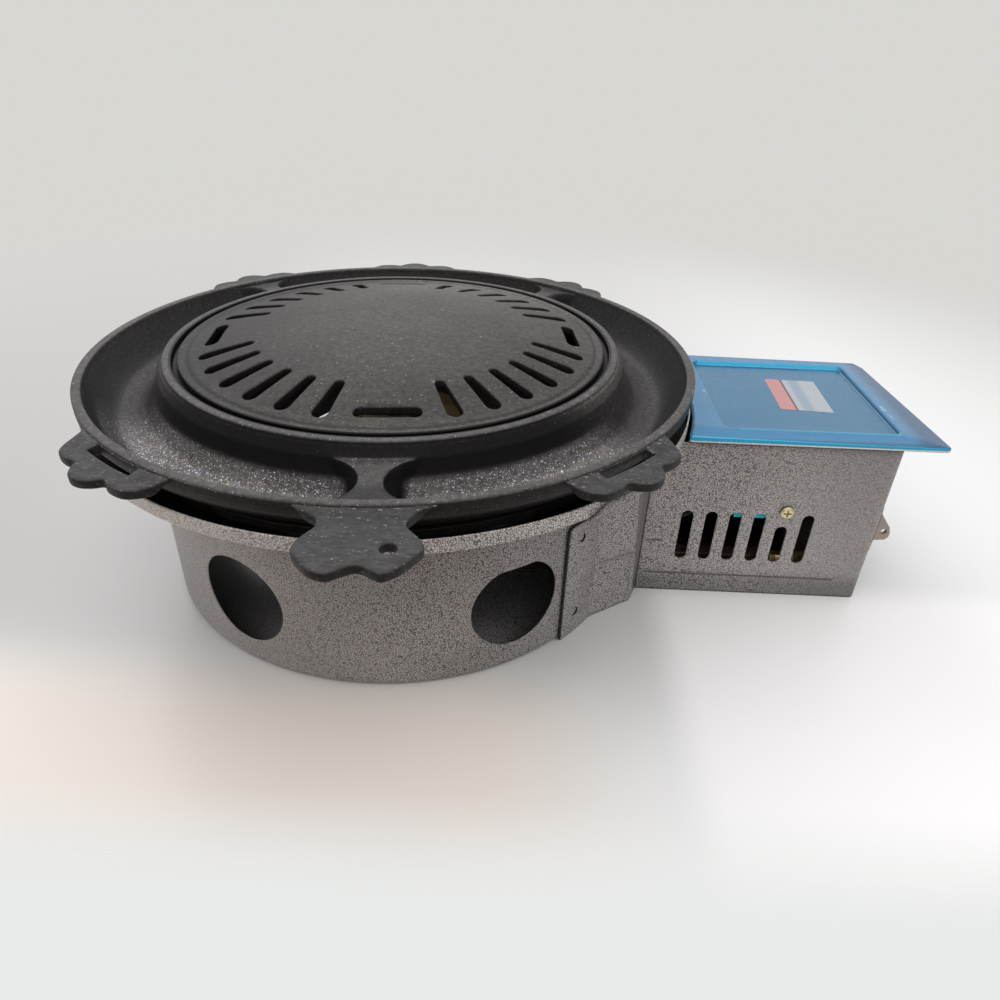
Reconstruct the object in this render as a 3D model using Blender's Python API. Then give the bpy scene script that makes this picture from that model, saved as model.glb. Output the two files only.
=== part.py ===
# Korean barbecue grill: a round gas drum with a side box, a cast ring pan and a slotted plate.
# Metres, +Z up. The origin is the centre of the drum's flat underside, and +X points to the box.
# The photographed side is -Y.
import bpy
import bmesh
import math
from mathutils import Vector

for old in list(bpy.data.objects):
    bpy.data.objects.remove(old, do_unlink=True)

mm = 0.001
half = 0.5
turn = math.tau
quarter = turn / 4

# Clearances and the overrun of every cut
seat_gap = 0.3 * mm
running_gap = 0.3 * mm
cut_over = 3.0 * mm

# Facet counts
drum_facets = 54
plate_facets = 48
inner_facets = 42
burner_facets = 24
tube_facets = 8
round_facets = 16
small_facets = 12
corner_points = 4
slot_end_points = 4
hex_facets = 6
knob_facets = 20
flute_facets = 8
smooth_angle = math.radians(30.0)

# Drum shell: flat floor, straight wall, flare and upright lip
drum_radius = 135.6 * mm
drum_sheet = 1.2 * mm
drum_floor_round = 4.0 * mm
drum_wall_height = 84.0 * mm
flare_height = 19.0 * mm
flare_spread = 29.5 * mm
lip_height = 7.0 * mm
flare_out_shares = (0.0, 0.06, 0.3, 0.68, 1.0)
flare_up_shares = (0.0, 0.29, 0.61, 0.79, 1.0)
lip_radius = drum_radius + flare_spread
lip_top = drum_wall_height + flare_height + lip_height
vent_radius = 24.8 * mm
vent_height = 39.6 * mm
vent_flat_share = 0.91
vent_first_angle = math.radians(-57.6)
vent_pitch = math.radians(-60.1)
vent_count = 5
vent_facets = 24
wall_hole_gap = 1.2 * mm

# Support ring between the drum's flare and the pan
ring_setback = 0.9 * mm
ring_width = 10.0 * mm
ring_thick = 4.4 * mm
ring_inner = drum_radius + ring_setback
ring_outer = ring_inner + ring_width

# Cast ring pan
pan_radius = lip_radius - 0.1 * mm
pan_height = 24.7 * mm
pan_rim_width = 4.5 * mm
moat_width = 37.6 * mm
moat_floor_thick = 4.2 * mm
moat_wall_share = 0.94
moat_outer_power = 2.1
moat_inner_power = 3.2
moat_along_shares = (-1.0, -0.92, -0.76, -0.48, -0.14, 0.22, 0.52, 0.76, 0.92)
foot_outer_share = 0.38
under_out_shares = (0.96, 0.72, 0.38)
under_up_shares = (0.7, 0.34, 0.1)
collar_width = 4.6 * mm
collar_draft = 3.4 * mm
collar_rise = 4.75 * mm
edge_round = 0.7 * mm
ledge_drop = 3.75 * mm
ledge_width = 12.3 * mm
ledge_thick = 5.0 * mm
pan_turn = math.radians(4.0)
divider_angles = tuple(math.radians(a) + pan_turn for a in (-90.0, 50.0, 130.0))
divider_drop = 2.0 * mm
divider_waist = 5.4 * mm
divider_draft = 2.6 * mm
pocket_end_radius = 17.8 * mm
pocket_steps = 15
pan_rim_inner = pan_radius - pan_rim_width
collar_foot = pan_rim_inner - moat_width + collar_draft
collar_outer = collar_foot - collar_draft
collar_inner = collar_outer - collar_width
ledge_inner = collar_inner - ledge_width

# Flat handles cast on the pan
handle_thick = 4.8 * mm
handle_drop = 2.2 * mm
handle_bury = 3.2 * mm
side_reach = 20.2 * mm
side_half = 33.0 * mm
side_angles = tuple(math.radians(a) + pan_turn for a in (-130.0, -50.0, 50.0, 90.0, 130.0))
side_out_shares = (-0.16, 0.22, 0.48, 0.65, 0.69, 0.63, 0.8, 0.95, 1.0)
side_along_shares = (1.0, 0.94, 0.85, 0.72, 0.5, 0.34, 0.25, 0.13, 0.0)
slot_setback = 0.5 * mm
slot_width = 4.9 * mm
slot_half_angle = math.radians(5.7)
slot_points = 6
tail_angle = math.radians(-90.0) + pan_turn
tail_reach = 38.9 * mm
tail_half = 24.5 * mm
tail_out_shares = (0.0, 0.06, 0.16, 0.29, 0.43, 0.64, 0.81, 0.94, 1.0, 0.95, 0.88,
                   0.94, 0.98, 0.94, 0.82, 0.73, 0.62, 0.49, 0.39, 0.32, 0.2, 0.08, 0.0)
tail_along_shares = (-1.2, -0.95, -0.72, -0.69, -0.79, -0.93, -0.77, -0.61, -0.39, -0.12, 0.06,
                     0.24, 0.41, 0.61, 0.86, 0.96, 1.0, 0.92, 0.86, 0.74, 0.73, 0.92, 1.2)
tail_smooth = 2
root_points = 7
tail_hole_radius = 3.1 * mm
tail_hole_out = 24.3 * mm
tail_hole_along = 11.1 * mm

# Slotted grill plate
plate_play = 2.8 * mm
plate_thick = 5.0 * mm
plate_edge_height = 5.0 * mm
plate_dome_radius = 652.0 * mm
plate_rise = 16.1 * mm
plate_border = 6.0 * mm
plate_edge_shares = (0.88, 0.16)
plate_seat_width = 7.0 * mm
plate_steps = 4
plate_turn = math.radians(6.0)
plate_groups = 4
plate_radius = collar_inner - plate_play
radial_slots = 6
radial_pitch = math.radians(10.7)
radial_inner = 79.5 * mm
radial_border = 7.0 * mm
radial_inner_width = 5.4 * mm
radial_outer_width = 8.6 * mm
cross_length = 34.0 * mm
cross_width = 7.6 * mm
cross_border = 14.5 * mm
cross_round_share = 0.45

# Gas box walls
neck_reach = 8.4 * mm
box_length = 130.7 * mm
box_front = -48.05 * mm
box_back = 61.0 * mm
box_above_wall = 15.0 * mm
box_sheet = 1.2 * mm
box_corner = 2.5 * mm
box_left = drum_radius + neck_reach
box_right = box_left + box_length
box_height = drum_wall_height + box_above_wall
window_first = 23.2 * mm
window_pitch = 13.5 * mm
window_count = 6
window_short = 4
window_width = 6.6 * mm
window_bottom = 23.4 * mm
window_top = 56.4 * mm
window_short_top = 48.2 * mm
tray_thick = 1.5 * mm
tray_lift = 1.2 * mm

# Neck shrouds between the drum and the box
neck_sheet = 1.2 * mm
neck_angle = math.radians(44.4)
neck_bend_angle = math.radians(33.5)
neck_kink_front = 11.3 * mm
neck_kink_back = 6.0 * mm
neck_kink_back_by = 4.7 * mm
neck_arc_points = 5
neck_low_top = 72.0 * mm
wing_drop = 2.5 * mm
wing_spread = math.radians(4.6)
wing_narrow = math.radians(4.5)
wing_columns = 4

# Lid
lid_play = 0.75 * mm
lid_depth = 6.7 * mm
lid_sheet = 1.2 * mm
lid_overhang = 23.1 * mm
lid_corner = 4.0 * mm
lid_lip_clear = 3.0 * mm
lid_slope_width = 14.0 * mm
lid_slope_drop = 2.6 * mm
lid_front_drop = 1.9 * mm
lid_edge_round = 1.2 * mm
lid_side_points = 8
panel_left = 37.0 * mm
panel_right = 1.3 * mm
panel_border = 9.5 * mm
panel_depth = 2.6 * mm
panel_step = 1.6 * mm
panel_corner = 5.0 * mm
lid_bottom = box_height + seat_gap
lid_top = lid_bottom + lid_depth
lid_front = box_front - lid_play - lid_sheet
lid_back = box_back + lid_play + lid_sheet
lid_right = box_right + lid_overhang

# Lid hinge
barrel_radius = 2.7 * mm
barrel_bite_share = 0.8
barrel_points = 9
pin_radius = 1.4 * mm
leaf_thick = 1.2 * mm
knuckle_length = 9.0 * mm
hinge_place_share = 0.597
hinge_span_share = 0.245
base_leaf_height = 20.0 * mm
lid_leaf_height = 4.6 * mm
hinge_x = box_left + box_length * hinge_place_share
hinge_half_span = box_length * hinge_span_share
hinge_y = lid_back + seat_gap + leaf_thick + barrel_radius * barrel_bite_share
hinge_z = box_height + seat_gap

# Burner, mixing tube and stand
burner_radius = 44.0 * mm
burner_base = 54.0 * mm
burner_height = 24.0 * mm
burner_wall = 3.5 * mm
burner_throat = 6.5 * mm
burner_lean = 13.0 * mm
burner_lean_rise = 6.5 * mm
cap_thick = 4.5 * mm
cap_dome = 3.5 * mm
cap_dome_share = 0.5
port_count = 15
port_width = 2.4 * mm
port_depth = 7.0 * mm
port_height = 2.2 * mm
tube_radius = 7.5 * mm
tube_wall = 1.0 * mm
tube_line = -33.0 * mm
tube_height = 15.5 * mm
bell_radius = 9.5 * mm
bell_length = 9.0 * mm
tube_straight_share = 0.9
tube_bend_out_shares = (0.5, 0.2)
tube_bend_side_shares = (0.82, 0.3)
tube_bend_up_shares = (0.0, 0.1)
tube_smooth = 3
stand_width = 30.0 * mm
stand_sheet = 3.0 * mm
stand_leg = 31.0 * mm
stand_foot = 13.0 * mm
stand_arm = 62.0 * mm

# Heat dish round the burner
dish_inner = 62.0 * mm
dish_thick = 1.2 * mm
dish_lip = 5.0 * mm
dish_rim_drop = 2.2 * mm
dish_fall = 13.0 * mm
dish_outer_height = drum_wall_height - dish_rim_drop - dish_thick
dish_inner_height = dish_outer_height - dish_fall

# Valve casting and gas nozzle at the box's far end
valve_depth = 27.2 * mm
valve_low = 7.0 * mm
valve_front_margin = 5.0 * mm
valve_back_margin = 5.0 * mm
valve_arm_height = 22.0 * mm
valve_tower_width = 28.0 * mm
valve_tower_over = 15.0 * mm
valve_back_height = 31.0 * mm
nozzle_hex = 6.6 * mm
nozzle_hex_length = 9.0 * mm
nozzle_tip_radius = 4.8 * mm
nozzle_tip_length = 13.0 * mm
nozzle_bore = 0.9 * mm
nozzle_gap = 5.7 * mm

# Knob and its spindle
knob_line = 13.0 * mm
knob_height = 45.0 * mm
knob_radius = 19.0 * mm
knob_depth = 17.0 * mm
knob_skirt_radius = 21.0 * mm
knob_skirt = 3.0 * mm
knob_chamfer = 2.4 * mm
knob_stand_off = 2.0 * mm
knob_flutes = 8
knob_flute_radius = 2.4 * mm
spindle_radius = 3.5 * mm
spindle_in_valve = 14.0 * mm
spindle_in_knob = 11.0 * mm

# Hose nipple
nipple_line = 45.0 * mm
nipple_height = 24.0 * mm
nipple_radius = 4.6 * mm
nipple_bore = 2.4 * mm
nipple_hex = 8.0 * mm
nipple_hex_length = 6.0 * mm
nipple_barb_length = 15.0 * mm
nipple_in_valve = 10.0 * mm
barb_rise = 0.9 * mm
barb_count = 3
barb_crest_share = 0.2

# Die-cast lug outside the box's far end
lug_plate_thick = 2.6 * mm
lug_plate_low = 30.0 * mm
lug_plate_height = 30.0 * mm
lug_plate_depth = 20.0 * mm
lug_setback = 6.4 * mm
lug_ear_thick = 3.0 * mm
lug_reach = 11.1 * mm
lug_hole_radius = 1.7 * mm
lug_hole_place = 7.2 * mm
lug_hole_share = 0.45
lug_out_shares = (0.1, 0.42, 0.88, 1.0, 0.97, 0.84, 0.1)
lug_up_shares = (0.94, 0.77, 0.55, 0.42, 0.33, 0.27, 0.24)

# Bracket and screw behind the front wall
screw_place = 77.2 * mm
screw_height = 58.3 * mm
screw_head_radius = 4.0 * mm
screw_head_dome = 1.7 * mm
screw_crown_share = 0.72
screw_shank_radius = 1.9 * mm
screw_length = 7.0 * mm
cross_reach = 2.2 * mm
cross_slot = 0.9 * mm
cross_depth = 0.9 * mm
bracket_before = 28.2 * mm
bracket_after = 10.0 * mm
bracket_below = 5.8 * mm
bracket_above = 9.7 * mm
bracket_leg = 20.0 * mm
bracket_sheet = 1.2 * mm
screw_x = box_left + screw_place

# Piezo unit, its lead and the ceramic rod beside the burner
piezo_radius = 6.2 * mm
piezo_inset = 3.0 * mm
piezo_length = 22.0 * mm
rod_radius = 3.2 * mm
rod_length = 42.0 * mm
rod_below = 12.0 * mm
rod_place = 55.5 * mm
needle_radius = 0.9 * mm
needle_length = 6.0 * mm
lead_radius = 1.3 * mm
lead_line = 44.0 * mm
lead_height = 40.0 * mm
lead_low = 20.0 * mm
lead_bow = 58.0 * mm
lead_facets = 6
lead_smooth = 3
lead_end = 3.0 * mm
lead_wall_shares = (1.1, 1.0, 0.9)
lead_run_shares = (0.7, 0.44, 0.18)


def material(name, colour, metallic, roughness):
    """A Principled material with one plain colour."""
    made = bpy.data.materials.new(name)
    made.use_nodes = True
    shader = made.node_tree.nodes["Principled BSDF"]
    shader.inputs["Base Color"].default_value = (*colour, 1.0)
    shader.inputs["Metallic"].default_value = metallic
    shader.inputs["Roughness"].default_value = roughness
    made.diffuse_color = (*colour, 1.0)
    return made


hammertone = material("hammertone_paint", (0.21, 0.20, 0.19), 0.0, 0.45)
cast_coat = material("speckled_cast_coat", (0.055, 0.052, 0.052), 0.0, 0.42)
plate_coat = material("speckled_plate_coat", (0.085, 0.078, 0.075), 0.0, 0.38)
film_steel = material("filmed_steel", (0.16, 0.29, 0.40), 0.85, 0.28)
dark_steel = material("dark_steel", (0.05, 0.045, 0.042), 0.6, 0.55)
zinc_steel = material("zinc_steel", (0.42, 0.42, 0.41), 0.8, 0.4)
burner_iron = material("burner_iron", (0.035, 0.034, 0.033), 0.3, 0.7)
bronze_tube = material("bronzed_tube", (0.17, 0.085, 0.05), 0.7, 0.38)
brass = material("brass", (0.55, 0.38, 0.14), 0.9, 0.3)
die_cast = material("die_cast", (0.47, 0.42, 0.37), 0.7, 0.5)
gold_zinc = material("gold_zinc", (0.52, 0.38, 0.17), 0.9, 0.35)
knob_plastic = material("knob_plastic", (0.02, 0.02, 0.022), 0.0, 0.4)
piezo_plastic = material("piezo_plastic", (0.06, 0.12, 0.3), 0.0, 0.4)
ceramic_white = material("ceramic_white", (0.8, 0.77, 0.7), 0.0, 0.4)
lead_rubber = material("lead_rubber", (0.35, 0.03, 0.02), 0.0, 0.6)
cutter_look = material("cutter", (0.8, 0.1, 0.1), 0.0, 0.5)


def finish_object(name, bm, look, origin=(0, 0, 0), smooth=True):
    """Turn a closed bmesh into a named object whose origin is the given point."""
    bmesh.ops.recalc_face_normals(bm, faces=bm.faces)
    bmesh.ops.translate(bm, verts=bm.verts, vec=-Vector(origin))
    mesh = bpy.data.meshes.new(name)
    bm.to_mesh(mesh)
    bm.free()
    mesh.materials.append(look)
    if smooth:
        mesh.shade_smooth()
        mesh.set_sharp_from_angle(angle=smooth_angle)
    made = bpy.data.objects.new(name, mesh)
    made.location = origin
    bpy.context.scene.collection.objects.link(made)
    return made


def hidden(name, bm):
    """A body that only a Boolean reads."""
    made = finish_object("tool_" + name, bm, cutter_look)
    made.hide_render = True
    made.display_type = "WIRE"
    return made


def boolean(target, tool, operation="DIFFERENCE"):
    """Add an exact Boolean with another object."""
    step = target.modifiers.new(tool.name, "BOOLEAN")
    step.operation = operation
    step.solver = "EXACT"
    step.object = tool


def placed(u, v, w, axis):
    """Map section coordinates u, v and the run w to X, Y, Z."""
    if axis == "X":
        return (w, u, v)
    if axis == "Y":
        return (u, w, v)
    return (u, v, w)


def polar(radius, angle, height):
    """A point given by radius, angle and height."""
    return (radius * math.cos(angle), radius * math.sin(angle), height)


def turned_by(point, angle):
    """Turn a plan point given as (out, along) to an angle about the origin."""
    out, along = point
    return (out * math.cos(angle) - along * math.sin(angle),
            out * math.sin(angle) + along * math.cos(angle))


def arc_points(centre, radius, start, end, count):
    """Points on an arc from the start angle to the end angle, both ends included."""
    steps = [start + (end - start) * place / (count - 1) for place in range(count)]
    return [(centre[0] + radius * math.cos(a), centre[1] + radius * math.sin(a)) for a in steps]


def ring_points(centre, radius, count):
    """Points round a full circle."""
    return arc_points(centre, radius, 0, turn * (count - 1) / count, count)


def corner_arc(low, high, corner, place, count=corner_points):
    """One round corner of a rectangle: 0 is high-high, then on anticlockwise."""
    x = high[0] - corner if place in (0, 3) else low[0] + corner
    y = high[1] - corner if place in (0, 1) else low[1] + corner
    return arc_points((x, y), corner, quarter * place, quarter * (place + 1), count)


def add_prism(bm, outline, low, high, axis="Z"):
    """A straight extrusion of a closed outline between two stations on an axis."""
    base = bm.faces.new([bm.verts.new(placed(u, v, low, axis)) for u, v in outline])
    grown = bmesh.ops.extrude_face_region(bm, geom=[base])
    moved = [item for item in grown["geom"] if isinstance(item, bmesh.types.BMVert)]
    bmesh.ops.translate(bm, verts=moved, vec=placed(0, 0, high - low, axis))


def add_bar(bm, centre, radius, low, high, axis, facets=round_facets):
    """A round bar between two stations."""
    add_prism(bm, ring_points(centre, radius, facets), low, high, axis)


def prism(name, outline, low, high, look, axis="Z", origin=(0, 0, 0)):
    """One extruded body with flat shading."""
    bm = bmesh.new()
    add_prism(bm, outline, low, high, axis)
    return finish_object(name, bm, look, origin, False)


def add_rings(bm, rings, looped):
    """Skin rows of points with equal counts; a looped skin joins its last row to its first."""
    rows = [[bm.verts.new(point) for point in ring] for ring in rings]
    if looped:
        rows.append(rows[0])
    for lower, upper in zip(rows, rows[1:]):
        count = len(lower)
        for place in range(count):
            after = (place + 1) % count
            bm.faces.new((lower[place], lower[after], upper[after], upper[place]))
    if not looped:
        bm.faces.new(rows[0])
        bm.faces.new(rows[-1])


def turned(name, profile, look, axis="Z", centre=(0, 0), facets=drum_facets,
           origin=(0, 0, 0), looped=False):
    """Spin a profile of (radius, station) points about an axis through the centre."""
    rings = []
    for radius, station in profile:
        ring = ring_points(centre, radius, facets)
        rings.append([placed(u, v, station, axis) for u, v in ring])
    bm = bmesh.new()
    add_rings(bm, rings, looped)
    return finish_object(name, bm, look, origin)


def curve_path(points, count):
    """A smooth path through the given points, with equal steps between each pair."""
    knots = [Vector(p) for p in points]
    knots = [knots[0] * 2 - knots[1]] + knots + [knots[-1] * 2 - knots[-2]]
    path = []
    for place in range(1, len(knots) - 2):
        a, b, c, d = knots[place - 1:place + 3]
        for step in range(count):
            t = step / count
            path.append(half * (b * 2 + (c - a) * t + (a * 2 - b * 5 + c * 4 - d) * t ** 2
                                + (b * 3 - a - c * 3 + d) * t ** 3))
    path.append(knots[-2])
    return path


def swept_rings(path, radii, facets):
    """Circles of the given radii along a path, without twist."""
    points = [Vector(p) for p in path]
    rings = []
    side = (points[1] - points[0]).orthogonal()
    for place, point in enumerate(points):
        ahead = points[min(place + 1, len(points) - 1)]
        behind = points[max(place - 1, 0)]
        along = (ahead - behind).normalized()
        side = (side - along * side.dot(along)).normalized()
        other = along.cross(side)
        rings.append([point + side * u + other * v
                      for u, v in ring_points((0, 0), radii[place], facets)])
    return rings


def sheet_inside(points, thick):
    """The same open outline moved to its left by the sheet's thickness."""
    moved = []
    for place, point in enumerate(points):
        ahead = Vector(points[min(place + 1, len(points) - 1)])
        behind = Vector(points[max(place - 1, 0)])
        run = (ahead - behind).normalized()
        moved.append((point[0] - run.y * thick, point[1] + run.x * thick))
    return moved


def flare_profile():
    """Outer side of the drum's flare as (radius, height), from the wall to the lip."""
    return [(drum_radius + flare_spread * out, drum_wall_height + flare_height * up)
            for out, up in zip(flare_out_shares, flare_up_shares)]


def flare_inside():
    """Inner side of the flare, one sheet inside it."""
    moved = sheet_inside(flare_profile(), drum_sheet)
    moved[0] = (drum_radius - drum_sheet, drum_wall_height)
    moved[-1] = (lip_radius - drum_sheet, moved[-1][1])
    return moved


def flare_height_at(radius):
    """Height of the flare's upper side at a radius."""
    points = flare_inside()
    for (r0, z0), (r1, z1) in zip(points, points[1:]):
        if r0 <= radius <= r1:
            return z0 + (z1 - z0) * (radius - r0) / (r1 - r0)
    return points[-1][1]


def drum_shell():
    """Drawn drum with a flat floor, five vents, two side holes and a flared lip."""
    corner = (drum_radius - drum_floor_round, drum_floor_round)
    outer = arc_points(corner, drum_floor_round, -quarter, 0, corner_points)
    outer += flare_profile() + [(lip_radius, lip_top)]
    inner = [(lip_radius - drum_sheet, lip_top)] + flare_inside()[::-1]
    inner += arc_points(corner, drum_floor_round - drum_sheet, 0, -quarter, corner_points)
    shell = turned("drum_shell", outer + inner, hammertone)
    cuts = bmesh.new()
    near = drum_radius - drum_sheet - cut_over
    for place in range(vent_count):
        angle = vent_first_angle + vent_pitch * place
        limit = vent_radius * vent_flat_share if place == 0 else vent_radius
        rings = []
        for reach in (near, drum_radius + cut_over):
            ring = []
            for along, up in ring_points((0, 0), vent_radius, vent_facets):
                x, y = turned_by((reach, along), angle)
                ring.append((x, y, vent_height + min(up, limit)))
            rings.append(ring)
        add_rings(cuts, rings, False)
    for line, height, radius in ((tube_line, tube_height, tube_radius),
                                 (-lead_line, lead_height, lead_radius)):
        wall = math.sqrt(drum_radius ** 2 - line ** 2)
        add_bar(cuts, (line, height), radius + wall_hole_gap, wall - 2 * cut_over,
                wall + 2 * cut_over, "X")
    boolean(shell, hidden("drum_holes", cuts))


def support_ring():
    """Flat ring that stands on the drum's flare and carries the pan."""
    profile = [(ring_inner, ring_top), (ring_outer, ring_top), (ring_outer, ring_low),
               (ring_inner, ring_low)]
    turned("support_ring", profile, dark_steel, facets=inner_facets, looped=True)


ring_low = flare_height_at(ring_outer) + seat_gap
ring_top = ring_low + ring_thick
pan_base = ring_top + seat_gap
pan_top = pan_base + pan_height
collar_top = pan_top + collar_rise
ledge_top = collar_top - ledge_drop
divider_top = pan_top - divider_drop
handle_top = pan_top - handle_drop
plate_base = ledge_top + seat_gap
plate_crown = plate_base + plate_rise


def pan_rows():
    """The pan's closed section as (radius, height, whether a divider fills it)."""
    middle = half * (collar_foot + pan_rim_inner)
    spread = half * (pan_rim_inner - collar_foot)
    floor = pan_base + moat_floor_thick
    depth = pan_top - floor
    rows = [(ledge_inner, ledge_top, False), (collar_inner, ledge_top, False),
            (collar_inner, collar_top - edge_round, False),
            (collar_inner + edge_round, collar_top, False),
            (collar_outer - edge_round, collar_top, False),
            (collar_outer, collar_top - edge_round, False)]
    for share in moat_along_shares:
        power = moat_inner_power if share < 0 else moat_outer_power
        rows.append((middle + spread * share, floor + depth * moat_wall_share * abs(share) ** power,
                     True))
    rows += [(pan_rim_inner, pan_top - edge_round, False),
             (pan_rim_inner + edge_round, pan_top, False), (pan_radius - edge_round, pan_top, False),
             (pan_radius, pan_top - edge_round, False)]
    foot = middle + spread * (2 * foot_outer_share - 1)
    for out, up in zip(under_out_shares, under_up_shares):
        rows.append((foot + (pan_radius - foot) * out, pan_base + pan_height * up, False))
    rows.append((foot, pan_base, False))
    under = ledge_top - ledge_thick
    rows += [(collar_foot, pan_base, False), (collar_inner, under, False), (ledge_inner, under, False)]
    return rows


def divider_half(radius):
    """Half width of a divider at a radius: two round pocket ends back to back."""
    middle = half * (collar_foot + pan_rim_inner)
    away = min(abs(radius - middle), pocket_end_radius)
    return divider_waist + pocket_end_radius - math.sqrt(pocket_end_radius ** 2 - away ** 2)


def pan_columns(radius):
    """Angles of the pan's columns at a radius, each with whether it is on a divider."""
    columns = []
    top = divider_half(radius)
    foot = top + divider_draft
    centres = sorted(divider_angles)
    for place, centre in enumerate(centres):
        following = centres[place + 1] if place + 1 < len(centres) else centres[0] + turn
        columns += [(centre - top / radius, True), (centre, True), (centre + top / radius, True)]
        start = centre + foot / radius
        end = following - foot / radius
        count = round(pocket_steps * len(centres) * (following - centre) / turn)
        for step in range(count + 1):
            columns.append((start + (end - start) * step / count, False))
    return columns


def handle_outline(points, half_width, angle, smooth):
    """A handle's outline from shares of its reach and width, with its root inside the rim."""
    shoulder = math.sqrt(pan_radius ** 2 - half_width ** 2)
    outline = []
    for out, along in points:
        across = half_width * along
        rim = math.sqrt(pan_radius ** 2 - min(abs(across), half_width) ** 2)
        outline.append((max(out, rim - handle_bury * half), across, 0))
    if smooth > 1:
        outline = curve_path(outline, smooth)
    root = pan_radius - handle_bury
    reach = math.asin(half_width / root)
    plan = [(p[0], p[1]) for p in outline]
    plan += arc_points((0, 0), root, reach, -reach, root_points)
    return [turned_by(p, angle) for p in plan if p[0] > shoulder * half]


def ring_pan():
    """Cast pan: ledge, collar, moat with three dividers, rim, and six flat handles."""
    rings = []
    for radius, height, fills in pan_rows():
        ring = []
        for angle, divides in pan_columns(radius):
            top = max(height, divider_top) if fills and divides else height
            ring.append(polar(radius, angle, top))
        rings.append(ring)
    bm = bmesh.new()
    add_rings(bm, rings, True)
    pan = finish_object("ring_pan", bm, cast_coat)
    low = handle_top - handle_thick
    side = [(pan_radius + side_reach * out, along)
            for out, along in zip(side_out_shares, side_along_shares)]
    side = [(out, -along) for out, along in side] + side[-2::-1]
    tail = [(pan_radius + tail_reach * out, along)
            for out, along in zip(tail_out_shares, tail_along_shares)]
    handles = bmesh.new()
    slots = bmesh.new()
    for angle in side_angles:
        add_prism(handles, handle_outline(side, side_half, angle, 1), low, handle_top)
        near = pan_radius + slot_setback
        outline = arc_points((0, 0), near + slot_width, angle - slot_half_angle,
                             angle + slot_half_angle, slot_points)
        outline += arc_points((0, 0), near, angle + slot_half_angle, angle - slot_half_angle,
                              slot_points)
        add_prism(slots, outline, low - cut_over, handle_top + cut_over)
    add_prism(handles, handle_outline(tail, tail_half, tail_angle, tail_smooth), low, handle_top)
    hole = turned_by((pan_radius + tail_hole_out, tail_hole_along), tail_angle)
    add_bar(slots, hole, tail_hole_radius, low - cut_over, handle_top + cut_over, "Z")
    plates = hidden("handles", handles)
    boolean(plates, hidden("handle_slots", slots))
    boolean(pan, plates, "UNION")


def grill_plate():
    """Domed plate with radial slots in four groups and a cross slot between them."""
    shoulder = plate_radius - plate_border
    top = [(shoulder * step / plate_steps, plate_crown
            - (shoulder * step / plate_steps) ** 2 / (2 * plate_dome_radius))
           for step in range(1, plate_steps + 1)]
    edge = [(plate_radius, plate_base + plate_edge_height * share) for share in plate_edge_shares]
    edge += [(plate_radius - edge_round, plate_base), (plate_radius - plate_seat_width, plate_base)]
    under = [(r, max(z - plate_thick, plate_base)) for r, z in top[-2::-1]]
    plate = turned("grill_plate", top + edge + under, plate_coat, facets=plate_facets)
    cuts = bmesh.new()
    low = plate_base - cut_over
    high = plate_crown + cut_over
    outer_half = half * radial_outer_width
    inner_half = half * radial_inner_width
    outer_end = plate_radius - radial_border - outer_half
    for group in range(plate_groups):
        first = plate_turn - quarter + turn * group / plate_groups
        for place in range(radial_slots):
            middle = place - half * (radial_slots - 1)
            angle = first + half * turn / plate_groups + radial_pitch * middle
            outline = arc_points((outer_end, 0), outer_half, -quarter, quarter, slot_end_points)
            outline += arc_points((radial_inner + inner_half, 0), inner_half, quarter,
                                  turn - quarter, corner_points)
            add_prism(cuts, [turned_by(p, angle) for p in outline], low, high)
        reach = plate_radius - cross_border
        near = (reach - half * cross_width, -half * cross_length)
        far = (reach + half * cross_width, half * cross_length)
        outline = []
        for place in range(4):
            outline += corner_arc(near, far, cross_width * cross_round_share, place, 3)
        add_prism(cuts, [turned_by(p, first) for p in outline], low, high)
    boolean(plate, hidden("plate_slots", cuts))


def drum_clear():
    """Body that cuts the box and the neck clear of the drum's flare and lip."""
    gap = 2 * seat_gap
    profile = [(drum_radius + seat_gap * half, 0)]
    profile += [(r + gap, z - gap) for r, z in flare_profile()]
    profile += [(lip_radius + gap, max(lip_top, box_height) + cut_over)]
    bm = bmesh.new()
    add_rings(bm, [[(*p, height) for p in ring_points((0, 0), radius, drum_facets)]
                   for radius, height in profile], False)
    return hidden("drum_clear", bm)


def box_walls(clear):
    """Front, end and back walls of the gas box, with windows and three small holes."""
    low = (box_left, box_front)
    high = (box_right, box_back)
    outer = [low] + corner_arc(low, high, box_corner, 3) + corner_arc(low, high, box_corner, 0)
    outer += [(box_left, box_back)]
    inner_low = (box_left, box_front + box_sheet)
    inner_high = (box_right - box_sheet, box_back - box_sheet)
    inside = box_corner - box_sheet
    inner = [inner_low] + corner_arc(inner_low, inner_high, inside, 3)
    inner += corner_arc(inner_low, inner_high, inside, 0) + [(box_left, box_back - box_sheet)]
    walls = prism("box_walls", outer + inner[::-1], 0, box_height, hammertone)
    cuts = bmesh.new()
    front = box_front - cut_over
    behind = box_front + box_sheet + cut_over
    wide = half * window_width
    for place in range(window_count):
        middle = box_left + window_first + window_pitch * place
        top = window_short_top if place == window_short else window_top
        outline = arc_points((middle, top - wide), wide, 0, half * turn, corner_points + 1)
        outline += arc_points((middle, window_bottom + wide), wide, half * turn, turn,
                              corner_points + 1)
        add_prism(cuts, outline, front, behind, "Y")
    add_bar(cuts, (screw_x, screw_height), screw_shank_radius + running_gap, front, behind, "Y",
            small_facets)
    for centre, radius in (((knob_line, knob_height), spindle_radius),
                           ((nipple_line, nipple_height), nipple_radius)):
        add_bar(cuts, centre, radius + wall_hole_gap, box_right - box_sheet - cut_over,
                box_right + cut_over, "X")
    boolean(walls, hidden("box_holes", cuts))
    boolean(walls, clear)


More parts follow.
